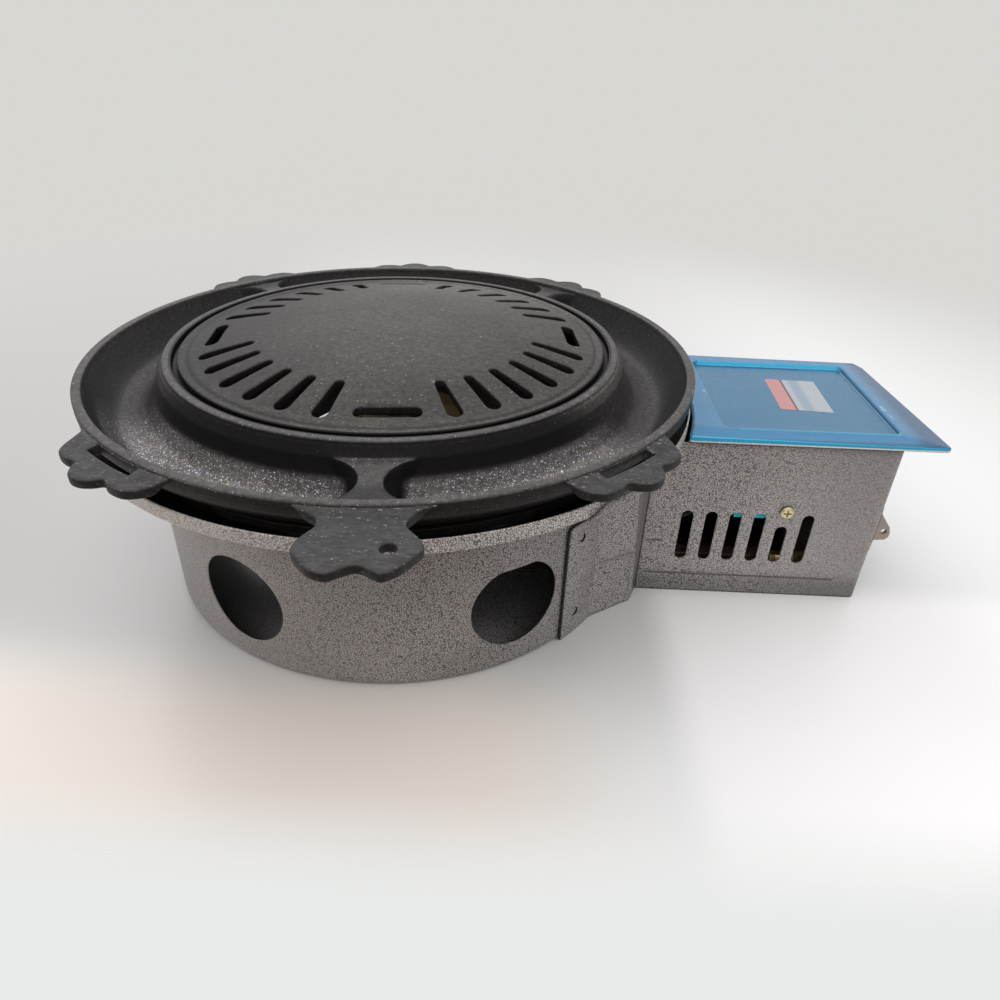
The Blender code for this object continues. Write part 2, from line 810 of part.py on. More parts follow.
def box_tray():
    """Floor of the gas box and the neck, cut round the drum."""
    clear = drum_radius + 2 * seat_gap
    low = (box_left, box_front + box_sheet + seat_gap)
    high = (box_right - box_sheet - seat_gap, box_back - box_sheet - seat_gap)
    outline = arc_points((0, 0), clear, math.asin(high[1] / clear), math.asin(low[1] / clear),
                         3 * corner_points)
    outline += corner_arc(low, high, box_corner, 3) + corner_arc(low, high, box_corner, 0)
    prism("box_tray", outline, tray_lift, tray_lift + tray_thick, dark_steel)


def neck_wing(side):
    """Top of a neck shroud: a sector of sheet that follows the drum's flare and covers its lip."""
    curve = [(r + seat_gap, z) for r, z in flare_profile()]
    top = lip_top - wing_drop
    inside = [(curve[0][0], neck_low_top)] + curve + [(curve[-1][0], top)]
    outside = [(r + neck_sheet, z - seat_gap) for r, z in curve]
    outside = [(outside[0][0], neck_low_top)] + outside + [(outside[-1][0], top)]
    rings = []
    for step in range(wing_columns + 1):
        ring = []
        for radius, height in outside + inside[::-1]:
            share = (height - neck_low_top) / (top - neck_low_top)
            start = neck_angle + wing_spread * share
            end = neck_bend_angle + wing_narrow * share
            angle = side * (start + (end - start) * step / wing_columns)
            ring.append(polar(radius, angle, height))
        rings.append(ring)
    bm = bmesh.new()
    add_rings(bm, rings, False)
    return hidden("neck_wing", bm)


def neck_shroud(name, side, clear):
    """Bent sheet that closes one side of the gap between the drum and the box."""
    reach = drum_radius + seat_gap + neck_sheet
    end = (box_left - seat_gap, box_front if side < 0 else box_back)
    if side < 0:
        kink = (box_left - neck_kink_back_by, box_front - neck_kink_front)
    else:
        kink = (box_left - neck_kink_back_by, box_back + neck_kink_back)
    outer = arc_points((0, 0), reach, side * neck_angle, side * neck_bend_angle, neck_arc_points)
    outer += [kink, end]
    inner = sheet_inside(outer, -side * neck_sheet)
    tops = [neck_low_top + cut_over] * neck_arc_points + [box_height, box_height]
    rings = []
    for (x_out, y_out), (x_in, y_in), top in zip(outer, inner, tops):
        rings.append([(x_out, y_out, 0), (x_out, y_out, top), (x_in, y_in, top), (x_in, y_in, 0)])
    bm = bmesh.new()
    add_rings(bm, rings, False)
    shroud = finish_object(name, bm, hammertone)
    boolean(shroud, clear)
    boolean(shroud, neck_wing(side), "UNION")


def lid_loop(inset, height):
    """One loop of the lid's edge: its left side follows the drum's lip, and two borders slope down."""
    low = (box_left, lid_front + inset)
    high = (lid_right - inset, lid_back - inset)
    corner = max(lid_corner - inset, lid_edge_round)
    clear = lip_radius + lid_lip_clear + inset
    count = 2 * corner_points + lid_side_points
    plan = corner_arc(low, high, corner, 0)
    plan += arc_points((0, 0), clear, math.asin(high[1] / clear), math.asin(low[1] / clear), count)
    plan += corner_arc(low, high, corner, 3)
    loop = []
    for x, y in plan:
        over = max(x - (lid_right - lid_slope_width), 0) / lid_slope_width
        ahead = max(lid_front + panel_border - y, 0) / panel_border
        fall = max(lid_slope_drop * over, lid_front_drop * ahead)
        loop.append((x, y, height - fall if height > lid_bottom + lid_slope_drop else height))
    return loop


def panel_loop(inset, height):
    """One loop of the lid's sunk panel, with as many points as the lid's edge."""
    low = (box_left + panel_left + inset, lid_front + panel_border + inset)
    high = (box_right + panel_right - inset, lid_back - panel_border - inset)
    corner = panel_corner - inset
    plan = corner_arc(low, high, corner, 0) + corner_arc(low, high, corner, 1)
    last = plan[-1]
    first = (low[0], low[1] + corner)
    for step in range(1, lid_side_points + 1):
        share = step / (lid_side_points + 1)
        plan.append((last[0], last[1] + (first[1] - last[1]) * share))
    plan += corner_arc(low, high, corner, 2) + corner_arc(low, high, corner, 3)
    return [(x, y, height) for x, y in plan]


def lid():
    """Pressed lid with a sunk panel, a sloping end and turned-down edges."""
    under = lid_top - lid_sheet
    loops = [lid_loop(0, lid_bottom), lid_loop(0, lid_top - lid_edge_round),
             lid_loop(lid_edge_round, lid_top), panel_loop(0, lid_top),
             panel_loop(panel_step, lid_top - panel_depth)]
    inner = [panel_loop(panel_step - lid_sheet, under - panel_depth), panel_loop(-lid_sheet, under),
             lid_loop(lid_edge_round + lid_sheet, under),
             lid_loop(lid_sheet, under - lid_edge_round), lid_loop(lid_sheet, lid_bottom)]
    bm = bmesh.new()
    rows = [[bm.verts.new(point) for point in ring] for ring in loops + inner]
    for place, lower in enumerate(rows):
        upper = rows[(place + 1) % len(rows)]
        if place in (len(loops) - 1,):
            continue
        for step in range(len(lower)):
            after = (step + 1) % len(lower)
            bm.faces.new((lower[step], lower[after], upper[after], upper[step]))
    bm.faces.new(rows[len(loops) - 1])
    bm.faces.new(rows[len(loops)])
    finish_object("lid", bm, film_steel, (hinge_x, hinge_y, hinge_z))


def hinge_part(name, low, high, on_lid):
    """A hinge leaf with its barrel: one section run along X and bored for the pin."""
    centre = (hinge_y, hinge_z)
    near = (lid_back if on_lid else box_back) + seat_gap
    far = near + leaf_thick
    if on_lid:
        top = hinge_z + lid_leaf_height
        outline = [(near, top), (near, hinge_z)]
        outline += arc_points(centre, barrel_radius, -half * turn * barrel_bite_share,
                              half * turn * barrel_bite_share, barrel_points)
        outline += [(far, top)]
    else:
        arm = hinge_z - barrel_radius
        outline = [(near, hinge_z - base_leaf_height), (far, hinge_z - base_leaf_height),
                   (far, arm - leaf_thick), (hinge_y, arm - leaf_thick)]
        outline += arc_points(centre, barrel_radius, -quarter * barrel_bite_share,
                              quarter * (2 + barrel_bite_share), barrel_points)
        outline += [(hinge_y - leaf_thick, arm), (near, arm)]
    origin = (hinge_x, hinge_y, hinge_z) if on_lid else (0, 0, 0)
    part = prism(name, outline, low, high, zinc_steel, "X", origin)
    cuts = bmesh.new()
    add_bar(cuts, centre, pin_radius + running_gap, low - cut_over, high + cut_over, "X",
            small_facets)
    boolean(part, hidden(name + "_bore", cuts))


def hinge():
    """Two base leaves on the box, two leaves on the lid and one pin through all four."""
    for label, sign in (("left", -1), ("right", 1)):
        middle = hinge_x + sign * hinge_half_span
        low, high = sorted((middle, middle + sign * knuckle_length))
        hinge_part("hinge_base_" + label, low, high, False)
        inside = middle - sign * seat_gap
        low, high = sorted((inside, inside - sign * knuckle_length))
        hinge_part("hinge_leaf_" + label, low, high, True)
    reach = hinge_half_span + knuckle_length + seat_gap
    profile = [(pin_radius, hinge_x - reach), (pin_radius, hinge_x + reach)]
    turned("hinge_pin", profile, zinc_steel, "X", (hinge_y, hinge_z), small_facets)


def burner():
    """Burner cup with a hollow throat, and its slotted brass cap."""
    top = burner_base + burner_height
    inner = burner_radius - burner_wall
    floor = burner_base + burner_wall
    profile = [(burner_throat, burner_base), (burner_radius - burner_lean, burner_base),
               (burner_radius, burner_base + burner_lean_rise), (burner_radius, top), (inner, top),
               (inner, floor + burner_lean_rise), (inner - burner_lean, floor),
               (burner_throat, floor)]
    turned("burner_cup", profile, burner_iron, facets=burner_facets, looped=True)
    seat = top + seat_gap
    profile = [(burner_radius, seat), (burner_radius, seat + cap_thick),
               (burner_radius * cap_dome_share, seat + cap_thick + cap_dome)]
    cap = turned("burner_cap", profile, brass, facets=burner_facets)
    cuts = bmesh.new()
    for place in range(port_count):
        low = (burner_radius - port_depth, -half * port_width)
        high = (burner_radius + cut_over, half * port_width)
        outline = [low, (high[0], low[1]), high, (low[0], high[1])]
        angle = turn * place / port_count
        add_prism(cuts, [turned_by(p, angle) for p in outline], seat - cut_over, seat + port_height)
    boolean(cap, hidden("cap_ports", cuts))


def mixing_tube():
    """Hollow tube from its bell beside the nozzle to the burner's throat."""
    start = box_right - box_sheet - seat_gap - valve_depth - seat_gap - nozzle_hex_length
    start -= nozzle_tip_length + nozzle_gap
    end = burner_base - seat_gap
    line = [(start - bell_length, tube_line, tube_height),
            (drum_radius * tube_straight_share, tube_line, tube_height)]
    for out, side, up in zip(tube_bend_out_shares, tube_bend_side_shares, tube_bend_up_shares):
        line.append((drum_radius * out, tube_line * side, tube_height + (end - tube_height) * up))
    line += [(0, 0, half * (end + tube_height) - tube_radius * half), (0, 0, end - tube_radius)]
    path = [(start, tube_line, tube_height)] + curve_path(line, tube_smooth) + [(0, 0, end)]
    outer = [bell_radius] + [tube_radius] * (len(path) - 1)
    bore = [radius - tube_wall for radius in outer]
    bm = bmesh.new()
    rings = swept_rings(path, outer, tube_facets)
    rings += swept_rings(path, bore, tube_facets)[::-1]
    add_rings(bm, rings, True)
    finish_object("mixing_tube", bm, bronze_tube)


def burner_stand():
    """Bent strap that carries the burner, with an arm for the igniter rod."""
    low = drum_sheet + seat_gap
    high = burner_base - seat_gap
    leg = stand_leg
    foot = stand_leg + stand_foot
    section = [(-foot, low), (-leg, low), (-leg, high - stand_sheet),
               (leg - stand_sheet, high - stand_sheet), (leg - stand_sheet, low), (foot, low),
               (foot, low + stand_sheet), (leg, low + stand_sheet), (leg, high),
               (-stand_arm, high), (-stand_arm, high - stand_sheet),
               (-leg - stand_sheet, high - stand_sheet), (-leg - stand_sheet, low + stand_sheet),
               (-foot, low + stand_sheet)]
    stand = prism("burner_stand", section, -half * stand_width, half * stand_width, zinc_steel, "X")
    cuts = bmesh.new()
    below = high - stand_sheet - cut_over
    add_bar(cuts, (0, 0), tube_radius + wall_hole_gap, below, high + cut_over, "Z")
    add_bar(cuts, (0, -rod_place), rod_radius + running_gap, below, high + cut_over, "Z",
            small_facets)
    boolean(stand, hidden("stand_holes", cuts))


def heat_dish():
    """Steel ring that slopes up from the burner to the top of the drum's wall."""
    rim = drum_radius - drum_sheet - seat_gap
    lower = [(dish_inner, dish_inner_height), (dish_inner + dish_lip, dish_inner_height),
             (rim - dish_lip, dish_outer_height - dish_lip), (rim, dish_outer_height)]
    upper = [(radius, height + dish_thick) for radius, height in lower]
    turned("heat_dish", lower + upper[::-1], dark_steel, facets=inner_facets, looped=True)


def igniter():
    """Piezo unit under its bracket, the screw that holds them, the lead and the ceramic rod."""
    foot = burner_base - rod_below
    top = foot + rod_length
    profile = [(rod_radius, foot), (rod_radius, top), (needle_radius, top),
               (needle_radius, top + needle_length)]
    turned("igniter_rod", profile, ceramic_white, centre=(0, -rod_place), facets=small_facets)
    face = box_front + box_sheet + seat_gap
    low = screw_height - bracket_below
    high = screw_height + bracket_above
    section = [(face, low), (face + bracket_sheet, low), (face + bracket_sheet, high - bracket_sheet),
               (face + bracket_leg, high - bracket_sheet), (face + bracket_leg, high), (face, high)]
    bracket = prism("igniter_bracket", section, screw_x - bracket_before, screw_x + bracket_after,
                    zinc_steel, "X")
    cuts = bmesh.new()
    add_bar(cuts, (screw_x, screw_height), screw_shank_radius + running_gap, face - cut_over,
            face + bracket_sheet + cut_over, "Y", small_facets)
    boolean(bracket, hidden("bracket_hole", cuts))
    height = high - bracket_sheet - seat_gap - piezo_radius
    line = face + bracket_sheet + seat_gap + piezo_radius
    left = screw_x - bracket_before + piezo_inset
    profile = [(piezo_radius, left), (piezo_radius, left + piezo_length)]
    turned("piezo_unit", profile, piezo_plastic, "X", (line, height), round_facets)
    wall = math.sqrt(drum_radius ** 2 - lead_line ** 2)
    knots = [(left - lead_end, line, height)]
    knots += [(wall * share, -lead_line, lead_height) for share in lead_wall_shares]
    knots += [(wall * share, -lead_bow, lead_low) for share in lead_run_shares]
    knots.append((0, -rod_place, foot - lead_end))
    path = [(left - seat_gap, line, height)] + curve_path(knots, lead_smooth)
    path.append((0, -rod_place, foot - seat_gap))
    bm = bmesh.new()
    add_rings(bm, swept_rings(path, [lead_radius] * len(path), lead_facets), False)
    finish_object("igniter_lead", bm, lead_rubber)


def front_screw():
    """Cross-head screw through the front wall and the bracket."""
    head = box_front - seat_gap
    crown = head - screw_head_dome
    profile = [(screw_shank_radius, head + screw_length), (screw_shank_radius, head),
               (screw_head_radius, head), (screw_head_radius, head - screw_head_dome * half),
               (screw_head_radius * screw_crown_share, crown)]
    screw = turned("front_screw", profile, gold_zinc, "Y", (screw_x, screw_height), round_facets)
    cuts = bmesh.new()
    arm = cross_reach
    side = half * cross_slot
    cross = [(side, side), (side, arm), (-side, arm), (-side, side), (-arm, side), (-arm, -side),
             (-side, -side), (-side, -arm), (side, -arm), (side, -side), (arm, -side), (arm, side)]
    add_prism(cuts, [(screw_x + u, screw_height + v) for u, v in cross], crown + cross_depth,
              crown - cut_over, "Y")
    boolean(screw, hidden("screw_cross", cuts))


def valve():
    """Valve casting behind the end wall, with bores for the spindle and the nipple."""
    right = box_right - box_sheet - seat_gap
    front = box_front + valve_front_margin
    back = box_back - valve_back_margin
    arm = valve_low + valve_arm_height
    rear = valve_low + valve_back_height
    tower = knob_height + valve_tower_over
    tower_front = knob_line - half * valve_tower_width
    tower_back = knob_line + half * valve_tower_width
    outline = [(front, valve_low), (back, valve_low), (back, rear), (tower_back, rear),
               (tower_back, tower), (tower_front, tower), (tower_front, arm), (front, arm)]
    body = prism("valve_body", outline, right - valve_depth, right, die_cast, "X")
    cuts = bmesh.new()
    add_bar(cuts, (knob_line, knob_height), spindle_radius + running_gap,
            right - spindle_in_valve - seat_gap, right + cut_over, "X")
    add_bar(cuts, (nipple_line, nipple_height), nipple_radius + running_gap,
            right - nipple_in_valve - seat_gap, right + cut_over, "X")
    boolean(body, hidden("valve_bores", cuts))
    end = right - valve_depth - seat_gap
    shoulder = end - nozzle_hex_length
    tip = shoulder - nozzle_tip_length
    profile = [(nozzle_bore, end), (nozzle_hex, end), (nozzle_hex, shoulder),
               (nozzle_tip_radius, shoulder), (nozzle_tip_radius, tip), (nozzle_bore, tip)]
    turned("gas_nozzle", profile, brass, "X", (tube_line, tube_height), hex_facets, looped=True)


def hose_nipple():
    """Barbed brass nipple screwed into the valve through the end wall."""
    start = box_right - box_sheet - seat_gap - nipple_in_valve
    hex_start = box_right + seat_gap
    hex_end = hex_start + nipple_hex_length
    profile = [(nipple_bore, start), (nipple_radius, start), (nipple_radius, hex_start),
               (nipple_hex, hex_start), (nipple_hex, hex_end), (nipple_radius, hex_end)]
    barb = nipple_barb_length / barb_count
    for place in range(barb_count):
        base = hex_end + barb * place
        profile += [(nipple_radius + barb_rise, base + barb * barb_crest_share),
                    (nipple_radius, base + barb)]
    profile += [(nipple_bore, hex_end + nipple_barb_length)]
    turned("hose_nipple", profile, brass, "X", (nipple_line, nipple_height), small_facets,
           looped=True)


def knob():
    """Fluted control knob and the spindle that turns with it."""
    pivot = (box_right, knob_line, knob_height)
    centre = (knob_line, knob_height)
    right = box_right - box_sheet - seat_gap
    face = box_right + knob_stand_off
    front = face + knob_skirt
    far = front + knob_depth
    tip = face + spindle_in_knob
    profile = [(spindle_radius, right - spindle_in_valve), (spindle_radius, tip)]
    turned("knob_spindle", profile, zinc_steel, "X", centre, small_facets, pivot)
    profile = [(knob_skirt_radius, face), (knob_skirt_radius, front), (knob_radius, front),
               (knob_radius, far - knob_chamfer), (knob_radius - knob_chamfer, far)]
    body = turned("knob", profile, knob_plastic, "X", centre, knob_facets, pivot)
    cuts = bmesh.new()
    for place in range(knob_flutes):
        u, v = turned_by((knob_radius, 0), turn * place / knob_flutes)
        add_bar(cuts, (knob_line + u, knob_height + v), knob_flute_radius, front + knob_chamfer,
                far + cut_over, "X", flute_facets)
    add_bar(cuts, centre, spindle_radius + seat_gap, face - cut_over, tip + seat_gap, "X",
            small_facets)
    boolean(body, hidden("knob_cuts", cuts))


def end_lug():
    """Die-cast lug outside the box's far end: a foot plate with a drilled ear."""
    foot = box_right + seat_gap
    front = box_front + lug_setback
    top = lug_plate_low + lug_plate_height
    plate = [(front, lug_plate_low), (front + lug_plate_depth, lug_plate_low),
             (front + lug_plate_depth, top), (front, top)]
    part = prism("end_lug", plate, foot, foot + lug_plate_thick, die_cast, "X")
    outline = [(foot + lug_reach * out, lug_plate_low + lug_plate_height * up)
               for out, up in zip(lug_out_shares, lug_up_shares)]
    ear = bmesh.new()
    add_prism(ear, outline, front + seat_gap, front + lug_ear_thick, "Y")
    boolean(part, hidden("lug_ear", ear), "UNION")
    cuts = bmesh.new()
    centre = (foot + lug_hole_place, lug_plate_low + lug_plate_height * lug_hole_share)
    add_bar(cuts, centre, lug_hole_radius, front - cut_over, front + lug_ear_thick + cut_over, "Y",
            small_facets)
    boolean(part, hidden("lug_hole", cuts))


drum_shell()
support_ring()
ring_pan()
grill_plate()
flare_clearance = drum_clear()
box_walls(flare_clearance)
box_tray()
neck_shroud("neck_front", -1, flare_clearance)
neck_shroud("neck_back", 1, flare_clearance)
lid()
hinge()
burner()
mixing_tube()
burner_stand()
heat_dish()
igniter()
front_screw()
valve()
hose_nipple()
knob()
end_lug()
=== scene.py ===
import math
import bmesh
import bpy
import numpy as np
from mathutils import Matrix, Vector, geometry, kdtree


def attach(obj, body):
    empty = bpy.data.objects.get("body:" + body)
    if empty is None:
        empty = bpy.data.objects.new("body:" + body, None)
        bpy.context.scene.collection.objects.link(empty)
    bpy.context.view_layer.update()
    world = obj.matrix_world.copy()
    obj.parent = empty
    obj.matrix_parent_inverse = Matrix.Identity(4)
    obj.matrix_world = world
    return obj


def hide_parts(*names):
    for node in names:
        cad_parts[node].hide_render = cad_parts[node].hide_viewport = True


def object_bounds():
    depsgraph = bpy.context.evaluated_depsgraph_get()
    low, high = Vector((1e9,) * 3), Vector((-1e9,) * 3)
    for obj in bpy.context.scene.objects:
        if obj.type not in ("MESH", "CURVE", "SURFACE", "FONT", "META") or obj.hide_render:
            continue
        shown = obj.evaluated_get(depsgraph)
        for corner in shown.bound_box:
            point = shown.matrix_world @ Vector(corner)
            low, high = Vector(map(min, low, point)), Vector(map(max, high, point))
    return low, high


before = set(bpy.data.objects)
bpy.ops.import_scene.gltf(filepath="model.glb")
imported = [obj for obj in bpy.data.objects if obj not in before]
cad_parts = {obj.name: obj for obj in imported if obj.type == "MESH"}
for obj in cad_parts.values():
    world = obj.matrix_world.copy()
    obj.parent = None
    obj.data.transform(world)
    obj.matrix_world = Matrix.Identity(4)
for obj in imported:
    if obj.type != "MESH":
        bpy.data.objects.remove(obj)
cad_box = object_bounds()

# The camera stands in front of the grill and a little above it, as a person at the table holds a
# phone: a wide lens, tilted down and rolled about two degrees. Its place was solved from the
# circles of the drum and pan and the straight edges of the gas box.
mm = 0.001
camera_place = Vector((65.403, -400.201, 281.282)) * mm
yaw, pitch, roll = -0.0109157, 0.564567, 0.0368693


def linked(name, data):
    """An object for a mesh, curve, lamp or camera, linked into the scene."""
    made = bpy.data.objects.new(name, data)
    bpy.context.scene.collection.objects.link(made)
    return made


camera = linked("camera", bpy.data.cameras.new("camera"))
bpy.context.scene.camera = camera
camera.data.sensor_width = 36.0
camera.data.lens = 26.88
camera.data.clip_start = 0.02
ahead = Vector((math.sin(yaw) * math.cos(pitch), math.cos(yaw) * math.cos(pitch), -math.sin(pitch)))
level = Vector((math.cos(yaw), -math.sin(yaw), 0.0))
upward = level.cross(ahead)
right = level * math.cos(roll) + upward * math.sin(roll)
top = upward * math.cos(roll) - level * math.sin(roll)
camera.matrix_world = Matrix.Translation(camera_place) @ Matrix((right, top, -ahead)).transposed().to_4x4()

# The drum is drawn from one sheet of steel: flat floor, straight wall, soft flare and upright lip.
# Five round vents are punched in the wall, the front right one with a flat top. It is painted
# inside and out with grey hammertone enamel, which dries into small light islands and dark grooves.
drum_radius = 135.6 * mm
drum_sheet = 1.2 * mm
lip_radius = 165.1 * mm
vent_radius = 24.8 * mm
vent_height = 39.6 * mm
vent_angles = [math.radians(-57.6 - 60.1 * place) for place in range(5)]


def arc(centre, radius, start, end, count):
    """Points on an arc, both ends included, angles in degrees."""
    angles = np.radians(np.linspace(start, end, count))
    return [(centre[0] + radius * math.cos(a), centre[1] + radius * math.sin(a)) for a in angles]


def eased(points, count):
    """A smooth line through the points, with equal steps between each pair."""
    knots = [np.array(p, float) for p in points]
    knots = [knots[0] * 2 - knots[1]] + knots + [knots[-1] * 2 - knots[-2]]
    line = []
    for a, b, c, d in zip(knots, knots[1:], knots[2:], knots[3:]):
        for step in range(count):
            t = step / count
            line.append(tuple(0.5 * (b * 2 + (c - a) * t + (a * 2 - b * 5 + c * 4 - d) * t ** 2
                                     + (b * 3 - a - c * 3 + d) * t ** 3)))
    return line + [tuple(knots[-2])]


def ring_faces(rows, size, closed=False):
    """Quads between closed loops of equal size, and back to the first loop if closed."""
    faces = []
    for row in range(rows if closed else rows - 1):
        below = (row + 1) % rows
        for place in range(size):
            after = (place + 1) % size
            faces.append((row * size + place, row * size + after, below * size + after, below * size + place))
    return faces


def sheet_object(name, vertices, faces, look):
    """A smooth mesh object with outward normals."""
    mesh = bpy.data.meshes.new(name)
    mesh.from_pydata([tuple(v) for v in vertices], [], faces)
    bm = bmesh.new()
    bm.from_mesh(mesh)
    bmesh.ops.remove_doubles(bm, verts=bm.verts, dist=1e-6)
    bmesh.ops.recalc_face_normals(bm, faces=bm.faces)
    bm.to_mesh(mesh)
    bm.free()
    mesh.shade_smooth()
    mesh.materials.append(look)
    return linked(name, mesh)


def within(points, *loops):
    """Which of the points lie inside the first closed loop and outside the others, its holes."""
    inside = np.zeros(len(points), bool)
    x, y = points[:, 0], points[:, 1]
    for loop in loops:
        for (x0, y0), (x1, y1) in zip(loop, np.roll(loop, -1, 0)):
            if y0 != y1:
                inside ^= ((y0 > y) != (y1 > y)) & (x < (x1 - x0) * (y - y0) / (y1 - y0) + x0)
    return inside


def run_of(line):
    """Distance along a line at each of its points."""
    return np.concatenate(([0], np.cumsum(np.linalg.norm(np.diff(line, axis=0), axis=1))))


def unit(steps):
    """Vectors brought to length 1."""
    return steps / (np.linalg.norm(steps, axis=1)[:, None] + 1e-12)


def loop_moved(loop, by):
    """A closed loop moved to its left."""
    run = unit(unit(np.roll(loop, -1, 0) - loop) + unit(loop - np.roll(loop, 1, 0)))
    return loop + np.stack((-run[:, 1], run[:, 0]), 1) * by


def pierced_plate(name, outline, holes, columns, rows, edge, thick, place, look, steps):
    """A plate cut to an outline with holes, its edges rounded, bent into shape by place(u, v, depth)."""
    points, drops, chains, bases = [], [], [], []
    for number, loop in enumerate([outline] + list(holes)):
        loop = np.array(loop, float)
        area = np.sum(loop[:, 0] * np.roll(loop[:, 1], -1) - loop[:, 1] * np.roll(loop[:, 0], -1))
        if (area > 0) != (number == 0):
            loop = loop[::-1]
        bases.append((len(points), len(loop)))
        for step in range(steps + 1):
            angle = math.pi / 2 * step / steps
            start = len(points)
            points += [tuple(p) for p in loop_moved(loop, edge * (1 - math.cos(angle)))]
            drops += [edge * (1 - math.sin(angle))] * len(loop)
            chains += [(start + i, start + (i + 1) % len(loop)) for i in range(len(loop))]
    tree = kdtree.KDTree(len(points))
    for number, (u, v) in enumerate(points):
        tree.insert((u, v, 0), number)
    tree.balance()
    grid = np.array([(u, v) for u in columns for v in rows])
    spare = 0.5 * min(np.min(np.diff(columns)), np.min(np.diff(rows)))
    for u, v in grid[within(grid, outline, *holes)]:
        if tree.find((u, v, 0))[2] > spare:
            points.append((u, v))
            drops.append(0.0)
    flat, _, faces, origins, _, _ = geometry.delaunay_2d_cdt(
        [Vector(p) for p in points], chains, [], 0, 1e-7, True)
    where = {}
    for number, sources in enumerate(origins):
        for source in sources:
            where[source] = number
    drop = [drops[sources[0]] if sources else 0.0 for sources in origins]
    flat = np.array([tuple(p) for p in flat])
    middles = np.array([flat[list(f)].mean(0) for f in faces])
    faces = [tuple(f) for f, kept in zip(faces, within(middles, outline, *holes)) if kept]
    count = len(flat)
    vertices = [place(u, v, d) for (u, v), d in zip(flat, drop)]
    vertices += [place(u, v, thick - d) for (u, v), d in zip(flat, drop)]
    faces += [tuple(i + count for i in f[::-1]) for f in faces]
    for start, size in bases:
        ring = [where[start + i] for i in range(size)]
        for a, b in zip(ring, ring[1:] + ring[:1]):
            faces.append((a, b, b + count, a + count))
    return sheet_object(name, vertices, faces, look)


def feed(socket, value):
    """Links a socket to another one, or sets its value."""
    if isinstance(value, bpy.types.NodeSocket):
        socket.id_data.links.new(value, socket)
    else:
        socket.default_value = value


def node(tree, kind, inputs={}, **settings):
    """A shader node with its settings, inputs given by socket name or number."""
    made = tree.nodes.new("ShaderNode" + kind)
    for key, value in settings.items():
        setattr(made, key, value)
    for socket, value in inputs.items():
        feed(made.inputs[socket], value)
    return made


def tree_of(*values):
    """The node tree of the first socket among some values."""
    return next(value.id_data for value in values if isinstance(value, bpy.types.NodeSocket))


def math_of(operation, *values):
    """The result socket of a Math node."""
    return node(tree_of(*values), "Math", dict(enumerate(values)), operation=operation).outputs[0]


def times(first, *others):
    """The product of several values."""
    for other in others:
        first = math_of("MULTIPLY", first, other)
    return first


def ranged(value, low, high, start=0.0, end=1.0):
    """A value mapped smoothly from one range to another."""
    return node(value.id_data, "MapRange", {"Value": value, "From Min": low, "From Max": high,
                                            "To Min": start, "To Max": end},
                interpolation_type="SMOOTHSTEP").outputs[0]


def zone(value, low, high, start=0.0, end=1.0):
    """The same, with the first range in millimetres."""
    return ranged(value, low * mm, high * mm, start, end)


def level_on(share, level):
    """1 where the share is 0, the level where it is 1."""
    return ranged(share, 0.0, 1.0, 1.0, level)


def mixed(share, first, second, how="MIX"):
    """Two colours mixed."""
    return node(tree_of(share, first, second), "Mix", {0: share, 6: first, 7: second},
                data_type="RGBA", blend_type=how).outputs[2]


def layered(colour, *layers):
    """A colour with others laid over it, each given as its share and itself."""
    for share, over in layers:
        colour = mixed(share, colour, (*over, 1))
    return colour


def lit(colour, level):
    """A colour made brighter or darker by a level."""
    grey = node(tree_of(level), "CombineColor", {0: level, 1: level, 2: level}).outputs[0]
    return mixed(1.0, colour, grey, "MULTIPLY")


def noise(spot, scale, detail, **more):
    """The outputs of a noise texture at a place: its value, then its colour."""
    return node(spot.id_data, "TexNoise", {"Vector": spot, "Scale": scale, "Detail": detail, **more}).outputs


def warped(spot, detail, far):
    """A place pushed about by fine noise, which makes cells uneven."""
    return node(spot.id_data, "VectorMath", {0: noise(spot, 900.0, detail)[1], 1: (far, far, far), 2: spot},
                operation="MULTIPLY_ADD").outputs[0]


def stroke(places, across, middle, wide, core, along, start, end, soft=1.0):
    """1 on a straight mark, sized in millimetres: across its width and between its soft ends."""
    off = math_of("ABSOLUTE", math_of("SUBTRACT", places[across], middle * mm))
    return times(zone(off, wide, core), zone(places[along], start - soft, start + soft),
                 zone(places[along], end + soft, end - soft))


def axes_of(tree, kind):
    """x, y and z of a texture coordinate."""
    return node(tree, "SeparateXYZ", {0: node(tree, "TexCoord").outputs[kind]}).outputs


def outward_of(places, normals):
    """How far a surface faces away from the drum's axis, times its distance from it."""
    return math_of("ADD", times(places[0], normals[0]), times(places[1], normals[1]))


def coat_group(name, inputs):
    """A shader node group that gives colour, roughness and height; its tree, inputs and outputs."""
    tree = bpy.data.node_groups.new(name, "ShaderNodeTree")
    for label, kind, value in inputs:
        socket = tree.interface.new_socket(name=label, in_out="INPUT", socket_type="NodeSocket" + kind)
        socket.default_value = value
    for label, kind in (("Color", "Color"), ("Roughness", "Float"), ("Height", "Float")):
        tree.interface.new_socket(name=label, in_out="OUTPUT", socket_type="NodeSocket" + kind)
    return tree, tree.nodes.new("NodeGroupInput").outputs, tree.nodes.new("NodeGroupOutput").inputs


def finish(name, metallic, roughness, **constants):
    """A Principled material with its node tree and shader; other constants by socket name."""
    made = bpy.data.materials.new(name)
    made.use_nodes = True
    shader = made.node_tree.nodes["Principled BSDF"]
    shader.inputs["Metallic"].default_value = metallic
    shader.inputs["Roughness"].default_value = roughness
    for label, value in constants.items():
        shader.inputs[label.replace("_", " ")].default_value = value
    return made, made.node_tree, shader


